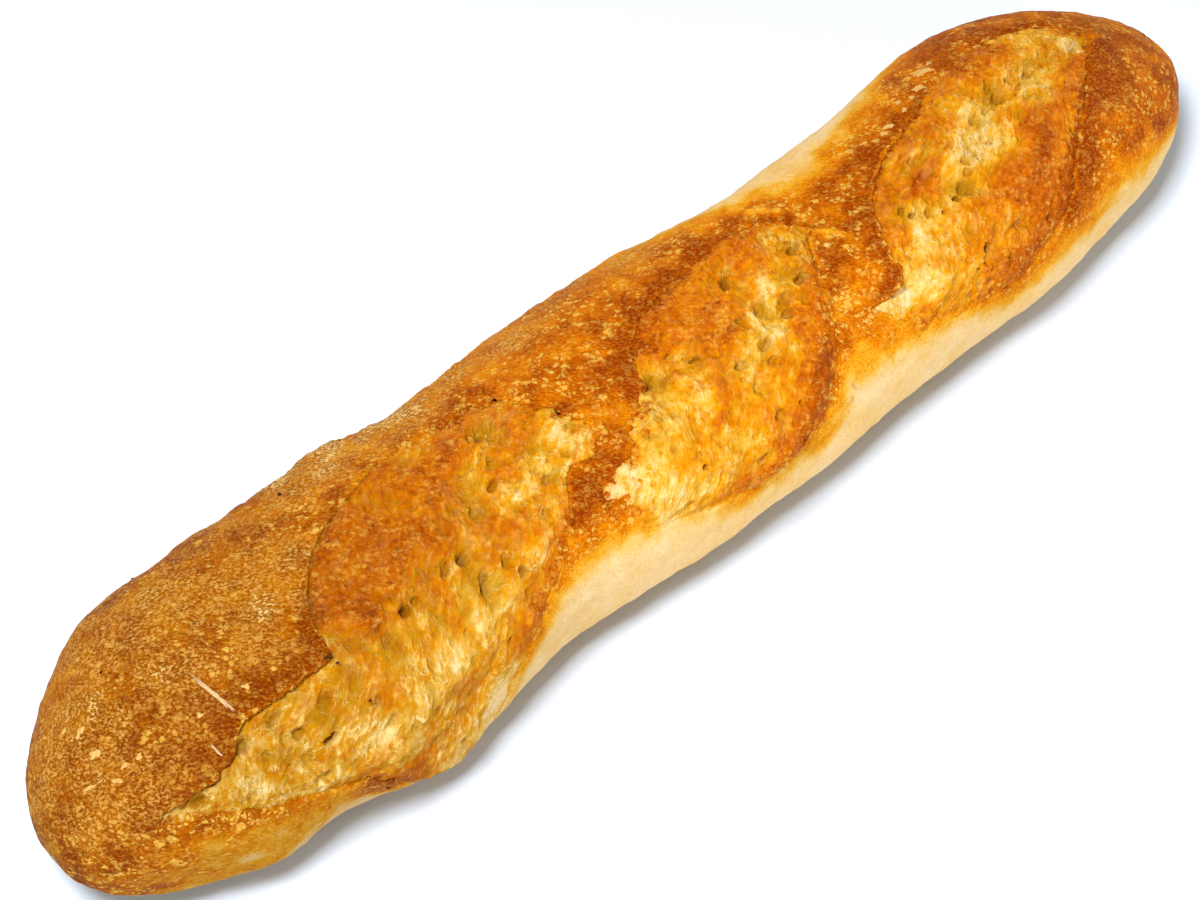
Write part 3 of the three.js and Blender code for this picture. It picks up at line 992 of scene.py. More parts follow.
def measure(piece: Object, name: str, values: Array) -> None:
    """Stores one number or one vector for each point of a piece, for its material to read."""
    kind, part = ("FLOAT", "value") if values.ndim == 1 else ("FLOAT_VECTOR", "vector")
    layer = piece.data.attributes.new(name, kind, "POINT")
    layer.data.foreach_set(part, values.astype(np.float32).ravel())


def with_tips(grid: Array) -> Array:
    """Values of a tube's points in mesh order, with its two tips added at the end."""
    flat = grid.reshape(-1, *grid.shape[2:])
    return np.concatenate([flat, grid[0].mean(0)[None], grid[-1].mean(0)[None]])


# ---- the skin -------------------------------------------------------------------------


@dataclass(frozen=True)
class Skin:
    """The loaf's uneven browned skin: its height over the plain body, and its baking."""

    body: LoafBody
    fields: tuple[SlashField, ...]
    pitch: float = 20.0
    near_pale: tuple[float, ...] = (
        64, 60, 58, 54, 52, 46, 34, 33, 41, 43, 34, 35, 43, 43, 41, 43, 50,
    )
    far_pale: tuple[float, ...] = (
        -66, -56, -50, -46, -44, -40, -35, -34, -36, -32, -20, -14, -22, -30, -42, -50, -56,
    )
    crown_bake: tuple[float, ...] = (
        0.82, 0.8, 0.78, 0.76, 0.74, 0.72, 0.72, 0.74, 0.76, 0.74, 0.7, 0.68, 0.76, 0.82, 0.86,
        0.86, 0.8,
    )
    side_bake: float = 0.08
    swellings: tuple[Patch, ...] = marks(
        (-81, 57, 9, 2.1), (-104, 56, 8, -2.4), (52, 14, 7, 1.6), (-63, -36, 6, 1),
        (-84, -36, 13, -1.2), (-48, -33, 6, -0.8), (-118, -2, 18, 0.5), (-142, 52, 12, -2.4),
        (146, 38, 14, -1), (-108, -37, 8, -0.9), (0, -36, 12, -0.8), (46, -34, 8, -0.9),
        (-122, 55, 7, 1), (96, 53, 9, 0.9), (-30, 55, 9, 0.8), (28, 55, 9, 0.7), (20, -38, 5, 0.8),
        (-128, -35, 6, 0.7), (139, -26, 8, 0.6), (118, 46, 7, -0.8),
    )
    bake_marks: tuple[Patch, ...] = marks(
        (-132, 4, 16, 0.16), (-150, 32, 9, 0.06), (-159, 14, 6, -0.04), (-128, 46, 12, -0.46),
        (-147, 45, 10, -0.3), (-110, 50, 9, -0.4), (-96, 50, 5, 0.3), (-24, 22, 8, 0.1),
        (-142, -24, 12, -0.16), (-10, 1, 5, 0.12), (-108, 10, 6, 0.08), (-120, 13, 5, 0.06),
        (-19, 15, 5, 0.08), (134, 20, 10, 0.06), (56, -20, 10, 0.05), (46, 31, 8, -0.04),
        (62, -8, 9, 0.04), (-100, -2, 12, -0.06), (-60, -24, 14, -0.06), (124, 34, 8, -0.06),
        (-15, 8, 8, -0.1), (52, 10, 6, -0.04), (150, 24, 9, -0.1), (-97, 3, 5, 0.1),
        (-92, -14, 10, 0.08), (-6, 8, 4, 0.3), (1, 0, 4, 0.32), (8, -5, 4, 0.3), (18, -11, 5, 0.2),
        (30, -15, 5, 0.16), (40, -16, 4, 0.14),
    )
    # Floury film. The row near across -30 to -35, along the +Y side's top edge, and the marks near
    # x -98 are partly painted sheen: film there whitens the crust and raises the frost.
    film_and_sheen_marks: tuple[Patch, ...] = marks(
        (-118, -12, 26, 0.75), (-142, 4, 22, 0.75), (-154, 14, 13, 0.35), (-98, -4, 9, 0.7),
        (-98, 5, 7, 0.6), (-74, -24, 16, 0.7), (-86, -6, 5, 0.6), (-46, -24, 12, 0.5),
        (-2, -28, 14, 0.5), (24, -28, 14, 0.4), (64, -22, 10, 0.35), (-92, -34, 12, 0.9),
        (-72, -32, 11, 1), (-54, -31, 10, 1.3), (-36, -30, 10, 1.3), (-112, -34, 12, 0.8),
        (-16, -30, 9, 1.2), (4, -33, 8, 1.2), (20, -35, 8, 1.1), (36, -35, 8, 0.9),
        (150, 8, 14, 0.25), (138, 20, 10, 0.2), (96, -26, 18, 0.3), (49, 5, 4, 0.5),
        (44, 18, 6, 0.3), (150, -20, 16, 0.4), (-150, -30, 20, 0.7),
    )
    rough_marks: tuple[Patch, ...] = marks(
        (-80, -32, 14, 2.4), (-55, -32, 12, 2.6), (-30, -32, 10, 2), (-5, -32, 12, 1.2),
        (20, -34, 12, 0.8), (-97, 6, 8, 0.8), (60, -26, 12, 0.6),
    )
    seams: tuple[Fold, ...] = (
        Fold(((43.9, -15.6), (46.3, -13.5), (47.8, -10.4)), 0.7, 0.9, -0.4),
        Fold(((43.5, -12.6), (45.7, -10.0), (48.7, -6.4)), -0.5, 1.1, 0.2),
        Fold(((50.5, 1.2), (52.9, 3.4), (55.3, 6.5)), 0.5, 0.8, -0.35),
        Fold(((-91.4, 3.9), (-94.7, 7.3), (-97.5, 11.0), (-98.0, 14.7)), -0.5, 0.9, 0.12),
        Fold(((-15.8, 12.2), (-15.5, 15.9), (-19.3, 19.3)), 0.6, 1.2, 0.1),
    )
    wave_height: float = 0.4
    wave_sizes: tuple[float, float] = (34.0, 12.0)
    blister_height: float = 0.16
    blister_size: float = 3.6
    wrinkle_height: float = 0.2
    wrinkle_sizes: tuple[float, float, float] = (9.0, 5.0, 5.0)
    edge_bakes: tuple[tuple[float, float], ...] = ((0.24, 2.4), (0.14, 7.0), (-0.4, 0.45))
    underside_bake: float = 0.5
    underside_film: float = 0.35
    film_share: float = 0.45
    # Painted shade: share of the colours left at the near end, as if less light reached it.
    near_painted_shade: float = 0.82

    def waves(self, x: Array, across: Array, points: Array) -> Array:
        """Height of the hand-shaped waves and swellings, fading out near the floor.

        Args:
            x: Place along the loaf.
            across: Place round it.
            points: The plain skin's points there.

        Returns:
            The height in millimetres.
        """
        waves = self.wave_height * Grain(3).soft(points / self.wave_sizes[0])
        waves += self.wave_height * Grain(4).soft(points / self.wave_sizes[1])
        fade = smooth_step(points[..., 2], 2.0, 12.0) * np.minimum(self.body.taper(x) * 2.5, 1)
        return (waves + patch_sum(self.swellings, x, across)) * fade

    def blisters(self, x: Array, across: Array, points: Array) -> Array:
        """Height of the small blisters, wrinkles and seams.

        Args:
            x: Place along the loaf.
            across: Place round it.
            points: The plain skin's points there.

        Returns:
            The height in millimetres.
        """
        blisters = self.blister_height * Grain(5).layers(points / self.blister_size, 3, 0.6)
        wrinkles = self.wrinkle_height * Grain(6).ridges(points / np.array(self.wrinkle_sizes))
        height = (blisters + wrinkles) * (1 + patch_sum(self.rough_marks, x, across))
        for seam in self.seams:
            height += seam.height * bell(stroke_distance(seam.line, x, across), seam.reach)
        return height * smooth_step(points[..., 2], 1.0, 6.0)

    def bake(self, x: Array, across: Array, points: Array) -> tuple[Array, Array]:
        """How brown the skin is, and how much floury film lies on it.

        Bake rises from the pale sides to the crown between two wandering limits. The marks,
        blotches, torn edges and seams shift it, and the underside gets a bake of its own.

        Args:
            x: Place along the loaf.
            across: Place round it.
            points: The skin's points.

        Returns:
            Bake from 0, pale, to 1, dark, and film from 0 to 1.
        """
        wander = 3.5 * Grain(7).layers(points / 16.0, 3) + 1.6 * Grain(8).soft(points / 3.0)
        near_limit = along_stations(self.near_pale, self.pitch, x)
        far_limit = along_stations(self.far_pale, self.pitch, x)
        crown = smooth_step(across + wander, far_limit - 9, far_limit + 7)
        crown = crown * smooth_step(-across - wander, -near_limit - 7, -near_limit + 9)
        top = along_stations(self.crown_bake, self.pitch, x)
        value = self.side_bake + (top - self.side_bake) * crown
        value += patch_sum(self.bake_marks, x, across)
        blotches = 0.3 * Grain(9).layers(points / 7.0, 3, 0.6)
        blotches += 0.08 * Grain(15).soft(points / 2.2)
        value += blotches * (0.25 + 0.75 * crown)
        for field in self.fields:
            near = field.read(x, across)
            value += near[..., 4] * sum(k * bell(near[..., 0], r) for k, r in self.edge_bakes)
        for seam in self.seams:
            value += seam.toast * bell(stroke_distance(seam.line, x, across), seam.reach)
        underside = smooth_step(-points[..., 2], -5.0, -0.8)
        plain = self.underside_bake + 0.12 * Grain(10).soft(points / 5.0)
        value = value * (1 - underside) + underside * plain
        film = patch_sum(self.film_and_sheen_marks, x, across)
        film *= 0.75 + 0.9 * Grain(12).layers(points / 9.0, 3)
        film = np.maximum(np.clip(film, 0, 2), self.underside_film * underside)
        return np.clip(value, 0, 1), film

    def painted_shade(self, x: Array) -> Array:
        """Factor on the colours: painted shade that makes the near end a little darker all over,
        as if less light reached it.
        """
        return blend(self.near_painted_shade, 1.0, smooth_step(x, -140.0, 0.0))[..., None]

    def colour(self, x: Array, bake: Array, film: Array) -> Array:
        """Screen colour of the skin, from its bake and its floury film, with the painted shade of
        the near end.
        """
        colour = blend(CRUST_RAMP.read(bake), FLOUR_FILM, self.film_share * np.minimum(film, 1))
        return colour * self.painted_shade(x)


# ---- the crust ------------------------------------------------------------------------


@dataclass(frozen=True)
class Crust:
    """The whole loaf's crust, with its slashes sunk and its lips curled up."""

    skin: Skin
    rings: int = 500
    columns: int = 198
    crown_crowding: float = 0.42
    edge_crowding: float = 2.2
    lip_reach: float = 5.5
    rounding: float = 0.3
    rounding_reach: float = 0.5
    wall_width: float = 0.9
    wall_spare: float = 0.8
    curl: float = 1.0
    curl_lip: float = 1.7
    curl_reach: float = 1.1
    sink: float = 4.5

    def ring_places(self) -> Array:
        """X of the rings: even along the middle, and closing up towards both tips.

        Returns:
            Rising places, by a cosine over each rounded end.
        """
        body = self.skin.body
        half = body.length / 2
        near_count, far_count = round(self.rings * 0.13), round(self.rings * 0.17)
        middle_count = self.rings - near_count - far_count
        t = np.arange(1, near_count + 1) / (near_count + 1)
        near = -half + body.cap_near * (1 - np.cos(t * np.pi / 2))
        middle = np.linspace(body.cap_near - half, half - body.cap_far, middle_count)
        t = np.arange(far_count, 0, -1) / (far_count + 1)
        far = half - body.cap_far * (1 - np.cos(t * np.pi / 2))
        return np.concatenate([near, middle, far])

    def grid(self) -> tuple[Array, Array]:
        """Places of the grid on the unrolled crust, drawn in towards the torn edges.

        Returns:
            X and across of each point, by ring and column.
        """
        turn = np.linspace(-np.pi, np.pi, self.columns, endpoint=False)
        angle = turn - self.crown_crowding * np.sin(turn)
        across = angle * self.skin.body.roll_radius
        x, across = np.meshgrid(self.ring_places(), across, indexing="ij")
        for field in self.skin.fields:
            near = field.read(x, across)
            gap = near[..., 0]
            share = np.clip(np.abs(gap) / self.edge_crowding, 0, 1)
            pull = gap * (share**0.7 - 1) * (share < 1)
            x = x + pull * near[..., 6]
            across = across + pull * near[..., 7]
        return x, across

    def shape(self, x: Array, across: Array) -> Array:
        """Points of the crust: body, unevenness, curled lips and sunk slashes.

        Outside a slash the lip's height fades with the distance to the torn edge by a bell
        curve. Inside it the crust drops as a steep wall and then sinks below the crumb. Close
        to the edge it is rounded off and pulled outwards.

        Args:
            x: Place along the loaf.
            across: Place round it.

        Returns:
            Points in millimetres, three columns.
        """
        body = self.skin.body
        plain = body.place(x, across)
        out, along, over = body.axes(x, across)
        height = self.skin.waves(x, across, plain) + self.skin.blisters(x, across, plain)
        pull_x = np.zeros_like(height)
        pull_across = np.zeros_like(height)
        for field in self.skin.fields:
            near = field.read(x, across)
            gap, lip, recess = near[..., 0], near[..., 1], near[..., 2]
            rise = lip * bell(np.maximum(gap, 0), self.lip_reach)
            rounding = self.rounding * np.minimum(lip, 1) * bell(gap, self.rounding_reach)
            drop = smooth_step(-gap, 0.0, self.wall_width) * (recess + lip + self.wall_spare)
            drop += smooth_step(-gap, 0.6, 4.0) * self.sink
            height += np.where(gap > 0, rise - rounding, lip - rounding - drop)
            curl = self.curl * lip / self.curl_lip * bell(gap, self.curl_reach)
            pull_x -= curl * near[..., 6]
            pull_across -= curl * near[..., 7]
        points = plain + out * height[..., None]
        points += along * pull_x[..., None] + over * pull_across[..., None]
        return body.settle(points)

    def build(self) -> Object:
        """Makes the crust's mesh and stores its colour, film and browning on it.

        Returns:
            The new piece.
        """
        x, across = self.grid()
        points = self.shape(x, across)
        bake, film = self.skin.bake(x, across, points)
        colour = self.skin.colour(x, bake, film)
        half = self.skin.body.length / 2
        first = self.skin.body.place(np.array(-half), np.array(0.0))
        last = self.skin.body.place(np.array(half), np.array(0.0))
        piece = closed_tube("crust", points[:, ::-1], first, last)
        paint(piece, "bread_colour", with_tips(colour[:, ::-1]))
        measure(piece, "bake", with_tips(bake[:, ::-1]))
        measure(piece, "film", with_tips(film[:, ::-1]))
        measure(piece, "crumb", np.zeros(len(piece.data.vertices)))
        return piece


# ---- the blooms -----------------------------------------------------------------------


class Cells(Enum):
    """Flat noises of the crumb: length and width of their cells, and their layer."""

    LUMP = (9.0, 7.0, 0.5)
    FOAM = (4.4, 3.0, 1.5)
    DIMPLE = (1.9, 1.2, 2.5)
    WARP_X = (9.0, 9.0, 3.5)
    FIBRE = (4.2, 1.4, 4.5)
    STREAK = (3.0, 1.4, 5.5)
    SHRED = (1.1, 0.8, 6.5)
    WARP_ACROSS = (9.0, 9.0, 7.5)
    SWAY = (24.0, 24.0, 8.5)
    PORE = (2.3, 2.1, 9.5)
    SPOT = (3.6, 3.0, 10.5)
    PIT_EDGE = (1.8, 1.8, 11.5)
    TOAST_EDGE = (3.2, 3.2, 12.5)
    SPECK = (1.5, 1.2, 13.5)
    BUNCH = (8.0, 8.0, 14.5)
    VEIL = (4.5, 2.4, 15.5)
    FRECKLE = (1.3, 1.1, 16.5)
    FUSED_EDGE = (2.4, 2.4, 18.5)
    BEND = (9.0, 9.0, 21.5)

    def at(self, x: Array, across: Array) -> Array:
        """The given places, in cells of this noise."""
        return on_skin(x, across, *self.value)


@dataclass(frozen=True)
class CrumbLook:
    """What the formulas say about the crumb at each place."""

    height: Array
    toast: Array
    hollow_shade: Array
    pit: Array
    torn: Array
    fused: Array
    run: Array
    side: Array


@dataclass(frozen=True)
class Bloom:
    """Crumb that has risen out of one slash, torn in strands, pitted and toasted."""

    skin: Skin
    slash: Slash
    field: SlashField
    rings: int = 440
    columns: int = 212
    under_columns: int = 6
    skirt: float = 2.0
    search_margin: float = 6.0
    search_steps: int = 900
    depth: float = 9.0
    strand_turn: float = -50.0
    swell_reach: float = 6.5
    # Shares of painted shade: olive in hollows and pits, dark brown at the bottoms of deep pits.
    hollow_shade_share: float = 0.58
    pit_olive_shade: float = 0.8
    pit_dark_shade: float = 0.8

    def grid(self) -> tuple[Array, Array]:
        """Places of the upper sheet, from one buried edge to the other on each ring.

        Returns:
            X and across of each point, by ring and column.
        """
        turn = math.radians(self.slash.axis_turn)
        cosine, sine = math.cos(turn), math.sin(turn)
        rim = self.slash.rim_curve()[:, :2]
        along = rim[:, 0] * cosine + rim[:, 1] * sine
        beside = rim[:, 1] * cosine - rim[:, 0] * sine
        t = np.linspace(0, 1, self.rings)
        ends = along.min() - self.skirt * 0.9, along.max() + self.skirt * 0.9
        p = ends[0] + (ends[1] - ends[0]) * (t - 0.035 * np.sin(2 * np.pi * t))
        sides = beside.min() - self.search_margin, beside.max() + self.search_margin
        q = np.linspace(*sides, self.search_steps)
        grid_p, grid_q = np.meshgrid(p, q, indexing="ij")
        grid_x = grid_p * cosine - grid_q * sine
        grid_across = grid_p * sine + grid_q * cosine
        inside = self.field.read(grid_x, grid_across)[..., 0] < self.skirt
        low = np.where(inside, grid_q, np.inf).min(1)
        high = np.where(inside, grid_q, -np.inf).max(1)
        known = np.isfinite(low)
        low = np.interp(p, p[known], low[known])
        high = np.interp(p, p[known], high[known])
        share = np.linspace(0, 1, self.columns)
        sheet_q = low[:, None] + (high - low)[:, None] * share
        sheet_p = np.broadcast_to(p[:, None], sheet_q.shape)
        return sheet_p * cosine - sheet_q * sine, sheet_p * sine + sheet_q * cosine

    def look(self, x: Array, across: Array) -> CrumbLook:
        """Works out the crumb's relief and colour qualities.

        The height is a pillow that levels off inside the torn edge, with lumps, strands
        and shreds on it, less cups, dimples, hollows, pores and pits. The toast is the
        patches' mean, made uneven by the same noises.

        Args:
            x: Place along the loaf.
            across: Place round it.

        Returns:
            Height over the uneven skin, toast, painted shade of the hollows, pits (whose share
            also paints shade), how torn and how fused with the crust it is, and the places along
            and beside the strands.
        """
        grain = Grain(self.slash.seed + 100)
        near = self.field.read(x, across)
        gap, recess, gap_shade = near[..., 0], near[..., 2], near[..., 5]
        inner = np.maximum(-gap, 0)
        warp_x = 1.2 * grain.layers(Cells.WARP_X.at(x, across), 2)
        warp_a = 1.2 * grain.layers(Cells.WARP_ACROSS.at(x, across), 2)
        wx, wa = x + warp_x, across + warp_a
        bend_x = wx + 5.5 * grain.soft(Cells.SWAY.at(x, across))
        bend_x += 1.6 * grain.soft(Cells.BEND.at(x, across))
        turn = math.radians(self.strand_turn)
        run = bend_x * math.cos(turn) + wa * math.sin(turn)
        side = wa * math.cos(turn) - bend_x * math.sin(turn)

        zone = patch_value(self.slash.toasts, wx, wa)
        edge_noise = 0.12 * grain.layers(Cells.TOAST_EDGE.at(x, across), 3, 0.6)
        torn = 1 - smooth_step(zone + edge_noise, 0.53, 0.63)
        crusted = 1 - torn

        lumps = grain.layers(Cells.LUMP.at(wx, wa), 2, 0.5)
        foam, foam_tag = grain.bubbles(Cells.FOAM.at(run, side))
        fine, fine_tag = grain.bubbles(Cells.DIMPLE.at(run, side))
        bunched = smooth_step(grain.soft(Cells.BUNCH.at(x, across)), -0.1, 0.35)
        fibre = grain.ridges(Cells.FIBRE.at(run, side)) ** 2 * bunched
        streaks = grain.layers(Cells.STREAK.at(run, side), 3, 0.6)
        spots = grain.layers(Cells.SPOT.at(x, across), 3, 0.7)
        veil = smooth_step(grain.layers(Cells.VEIL.at(run, side), 3, 0.6), 0.02, 0.5)
        shreds = grain.layers(Cells.SHRED.at(run, side), 2)
        pore, pore_tag = grain.bubbles(Cells.PORE.at(x + 0.3 * warp_x, across))
        pores = smooth_step(0.34 - pore, 0.0, 0.2) * (pore_tag > 0.72)
        freckle, freckle_tag = grain.bubbles(Cells.FRECKLE.at(x, across))
        freckles = smooth_step(0.42 - freckle, 0.0, 0.2) * (freckle_tag > 0.5)

        cup = smooth_step(0.56 - foam, 0.0, 0.5) * smooth_step(foam_tag, 0.4, 0.9)
        dimple = smooth_step(0.5 - fine, 0.0, 0.4) * smooth_step(fine_tag, 0.3, 0.9)
        height = self.slash.pillow * (1 - np.exp(-inner / self.swell_reach)) + 0.5 * crusted
        height += (0.35 + 0.45 * torn) * lumps
        height += torn * (0.2 * fibre + (0.04 + 0.08 * bunched) * shreds + 0.08 * streaks)
        height -= torn * (0.6 * cup + 0.22 * dimple)
        valley = torn * np.clip(patch_sum(self.slash.hollows, wx, wa), 0, 1)
        height -= torn * (0.25 * veil + 0.3 * pores) + 0.9 * valley
        height += crusted * (0.1 * shreds + 0.12 * streaks + 0.06 * freckles)
        height -= crusted * (0.1 * dimple + 0.3 * pores)

        specks = grain.layers(Cells.SPECK.at(x, across), 2, 0.7)
        toast = zone + torn * (0.1 * streaks + 0.16 * spots - 0.06 * cup + 0.08 * specks)
        toast += torn * (0.14 * zone - 0.08 * fibre) + 0.05 * lumps
        toast += crusted * (0.06 * streaks + 0.13 * spots)
        toast += crusted * (0.12 * pores - 0.13 * freckles + 0.06)

        near_x, near_a = wx * 0.3 + x * 0.7, wa * 0.3 + across * 0.7
        for fold in self.slash.folds:
            share = bell(stroke_distance(fold.line, near_x, near_a), fold.reach)
            height += fold.height * share
            toast += fold.toast * share

        pit_height, pit_share = self.pits(grain, x, across)
        height += pit_height
        fused = 1 - smooth_step(recess, 0.4, 0.9)
        height = height * (1 - np.exp(-inner / (0.8 + 1.6 * fused)))
        height -= recess * np.exp(-inner / 1.2)
        height = np.where(gap > 0, -recess - 0.15 - 1.4 * gap, height)

        # Painted shade: where the gap is dark, the crumb just inside the torn edge is coloured
        # like a pit.
        crack_shade = gap_shade * bell(inner, 0.9)
        pit_share = np.maximum(pit_share, 0.9 * crack_shade)
        # Painted shade: cups, dimples, veils and valleys get an olive share as if in shade.
        hollow_shade = torn * (0.6 * cup + 0.35 * dimple + 0.45 * veil * (1 - fibre))
        hollow_shade += valley * (0.9 + 0.5 * streaks + 0.5 * lumps - 0.4 * fibre)
        crumbs = grain.layers(Cells.FUSED_EDGE.at(x, across), 3, 0.75)
        fused = fused * np.exp(-inner / (1.6 + 2.4 * crusted))
        fused = smooth_step(fused + 0.5 * crumbs * (fused > 0.03), 0.2, 0.75)
        toast, hollow_shade = np.clip(toast, 0, 1), np.clip(hollow_shade, 0, 1)
        return CrumbLook(height, toast, hollow_shade, pit_share, torn, fused, run, side)

    def pits(self, grain: Grain, x: Array, across: Array) -> tuple[Array, Array]:
        """Holes in the crumb, each a ragged oval bowl with a low rim.

        Args:
            grain: The bloom's noise.
            x: Place along the loaf.
            across: Place round it.

        Returns:
            The height that the pits add, below zero inside them, and how deep in one each
            place is, from 0 to 1, which sets the pits' painted shade.
        """
        height = np.zeros_like(x)
        deepest = np.zeros_like(x)
        ragged = 0.4 * grain.layers(Cells.PIT_EDGE.at(x, across), 3, 0.6)
        for pit in self.slash.pits:
            angle = math.radians(pit.turn)
            dx, da = x - pit.x, across - pit.across
            p = (dx * math.cos(angle) + da * math.sin(angle)) / pit.half_length
            q = (da * math.cos(angle) - dx * math.sin(angle)) / pit.half_width
            ring = np.hypot(p, q) + ragged
            share = smooth_step(1.35 - ring, 0.0, 1.0)
            height += 0.2 * bell(ring - 1.4, 0.25) - 0.75 * pit.depth * share
            deepest = np.maximum(deepest, share * min(pit.depth / 2.6, 1.0) ** 1.5)
        return height, deepest

    def build(self) -> Object:
        """Makes the bloom's closed mesh, with an underside buried in the loaf.

        Returns:
            The new piece.
        """
        body = self.skin.body
        x, across = self.grid()
        look = self.look(x, across)
        plain = body.place(x, across)
        out, _, _ = body.axes(x, across)
        height = look.height + self.skin.waves(x, across, plain)
        height += self.skin.blisters(x, across, plain) * (1 - look.torn)
        upper = body.settle(plain + out * height[..., None])

        share = np.linspace(1, 0, self.under_columns + 2)[1:-1]
        under_x = x[:, -1:] * share + x[:, :1] * (1 - share)
        under_across = across[:, -1:] * share + across[:, :1] * (1 - share)
        under_out, _, _ = body.axes(under_x, under_across)
        lower = body.place(under_x, under_across) - under_out * self.depth
        rings = np.concatenate([upper, lower], 1)

        # Painted shade: hollows and pits turn olive, and the deepest pits dark brown.
        colour = blend(CRUMB_RAMP.read(look.toast), OLIVE_HOLLOW_SHADE, self.hollow_shade_share * look.hollow_shade)
        colour = blend(colour, OLIVE_HOLLOW_SHADE, self.pit_olive_shade * look.pit)
        colour = blend(colour, DARK_HOLLOW_SHADE, self.pit_dark_shade * look.pit**3)
        bake, film = self.skin.bake(x, across, plain)
        # The crumb takes the same painted shade towards the near end as the crust.
        colour = blend(colour * self.skin.painted_shade(x), self.skin.colour(x, bake, film), look.fused)

        def whole(values: Array) -> Array:
            """Adds plain values for the buried underside, in mesh order."""
            spare = np.broadcast_to(values[:, :1], (len(x), self.under_columns, *values.shape[2:]))
            return with_tips(np.concatenate([values, spare], 1)[:, ::-1])

        name = f"crumb_{self.slash.name}"
        piece = closed_tube(name, rings[:, ::-1], rings[0].mean(0), rings[-1].mean(0))
        paint(piece, "bread_colour", whole(colour))
        # Pits and hollows get a raised bake, so the shader's cream walls stay off their painted
        # shade.
        dark = blend(look.toast, 0.75, np.maximum(look.pit, 0.7 * look.hollow_shade))
        measure(piece, "bake", whole(blend(dark, bake, look.fused)))
        measure(piece, "film", whole(film * look.fused))
        measure(piece, "crumb", whole((0.6 + 0.4 * look.torn) * (1 - look.fused)))
        measure(piece, "strand", whole(np.stack([look.run, look.side, np.zeros_like(x)], -1)))
        return piece


# ---- flakes ---------------------------------------------------------------------------


class FlakeKind(Enum):
    """Kinds of small raised bits on the crust: height, and screen colour."""

    FLOUR = (0.28, (230, 182, 104))
    CREASE = (0.4, (226, 190, 146))
    BURNT = (0.4, (84, 42, 8))


@dataclass(frozen=True)
class Flakes:
    """Small ragged lenses half sunk in the crust, all of one kind in one piece."""

    skin: Skin
    kind: FlakeKind
    rows: tuple[tuple[float, float, float, float, float], ...]
    rings: int = 9
    columns: int = 28
    tear: float = 0.8
    tear_cell: float = 0.8
    lip_reach: float = 5.5
    bake: float = 0.2

    def build(self) -> Object:
        """Makes the closed lenses from rows of x, across, half length, half width and turn.

        Each lens is a squashed sphere, its outline made ragged by noise; seen from above
        its rings run from the top pole to the buried one.

        Returns:
            The new piece.
        """
        rise, screen = self.kind.value
        table = np.array(self.rows, float)[:, :, None, None]
        t = np.linspace(0, np.pi, self.rings + 2)[None, :, None]
        turn = np.linspace(0, 2 * np.pi, self.columns, endpoint=False)[None, None, :]
        length = np.sin(t) * np.cos(turn) * table[:, 2]
        width = np.sin(t) * np.sin(turn) * table[:, 3]
        angle = np.radians(table[:, 4])
        x = table[:, 0] + length * np.cos(angle) - width * np.sin(angle)
        across = table[:, 1] + length * np.sin(angle) + width * np.cos(angle)
        grain = Grain(71)
        cell = self.tear_cell
        ragged = 1 + self.tear * grain.layers(on_skin(x, across, cell, cell, 0.5), 2)
        x = table[:, 0] + (x - table[:, 0]) * ragged
        across = table[:, 1] + (across - table[:, 1]) * ragged

        plain = self.skin.body.place(x, across)
        out, _, _ = self.skin.body.axes(x, across)
        height = self.skin.waves(x, across, plain) + self.skin.blisters(x, across, plain)
        for field in self.skin.fields:
            near = field.read(x, across)
            height += near[..., 1] * bell(np.maximum(near[..., 0], 0), self.lip_reach)
        lift = rise * np.cos(t) * (1 + 0.5 * grain.soft(on_skin(x, across, 1.3, 1.3, 4.5)))
        points = self.skin.body.settle(plain + out * (height + lift)[..., None])

        shades = 1 + 0.12 * grain.layers(on_skin(x, across, cell, cell, 8.5), 2)
        colour = np.array(screen) / 255 * shades[..., None]
        piece = closed_lenses(f"flakes_{self.kind.name.lower()}", points)
        paint(piece, "bread_colour", lens_values(colour))
        for name, value in (("bake", self.bake), ("film", 0.0), ("crumb", 0.0)):
            measure(piece, name, np.full(len(piece.data.vertices), value))
        return piece


FLAKES = (
    (
        FlakeKind.FLOUR,
        (
            (100, -18.6, 1.6, 1.1, 20), (96, -15, 1.4, 1, 40), (83, -11.7, 1.2, 0.9, 40),
            (80.5, -10.7, 1, 0.7, 40), (88.8, -12.5, 0.8, 0.6, 40), (89.6, -15.9, 0.7, 0.6, 10),
            (92.7, -14.2, 0.6, 0.5, 40), (103.6, -19.8, 0.9, 0.6, 20), (49.3, 5.4, 0.9, 0.6, 40),
            (35.1, 37.4, 1, 0.7, 10), (37.2, 35.2, 0.9, 0.5, 70), (33.8, 40.1, 0.8, 0.4, -20),
            (-123.6, 12, 0.9, 0.6, 40), (-142.8, -9.6, 1.1, 0.9, 40), (-143.7, -1.4, 1.2, 0.9, 40),
            (-140.9, 8, 1, 0.7, 30), (-137.7, 9.5, 0.8, 0.6, 30), (-144.8, -15.4, 0.7, 0.5, 40),
            (-143.8, 9.5, 1.3, 0.5, 60), (-148.4, 4.1, 1.4, 0.5, 50), (-112.9, 13.1, 0.8, 0.6, 40),
        ),
    ),
    (FlakeKind.CREASE, ((-118.7, 10.9, 6.6, 0.42, 80), (-125.2, 20.1, 1.8, 0.25, 83))),
    (
        FlakeKind.BURNT,
        (
            (-112.2, -5.9, 0.5, 0.3, 60), (-78.1, -24.4, 0.5, 0.35, 40),
            (-111.5, -35.2, 0.4, 0.3, 40), (-96, 17, 1.1, 0.4, 10), (-95.2, 18.9, 0.5, 0.3, 0),
            (-93.7, 27.8, 0.4, 0.3, 0), (-96.2, 51.4, 0.6, 0.3, 30), (-132.3, -13.9, 0.3, 0.2, 0),
        ),
    ),
)


# ---- finishes -------------------------------------------------------------------------

GRAIN_TURN = math.radians(-40.0)
WARP_SCALE = 1.7


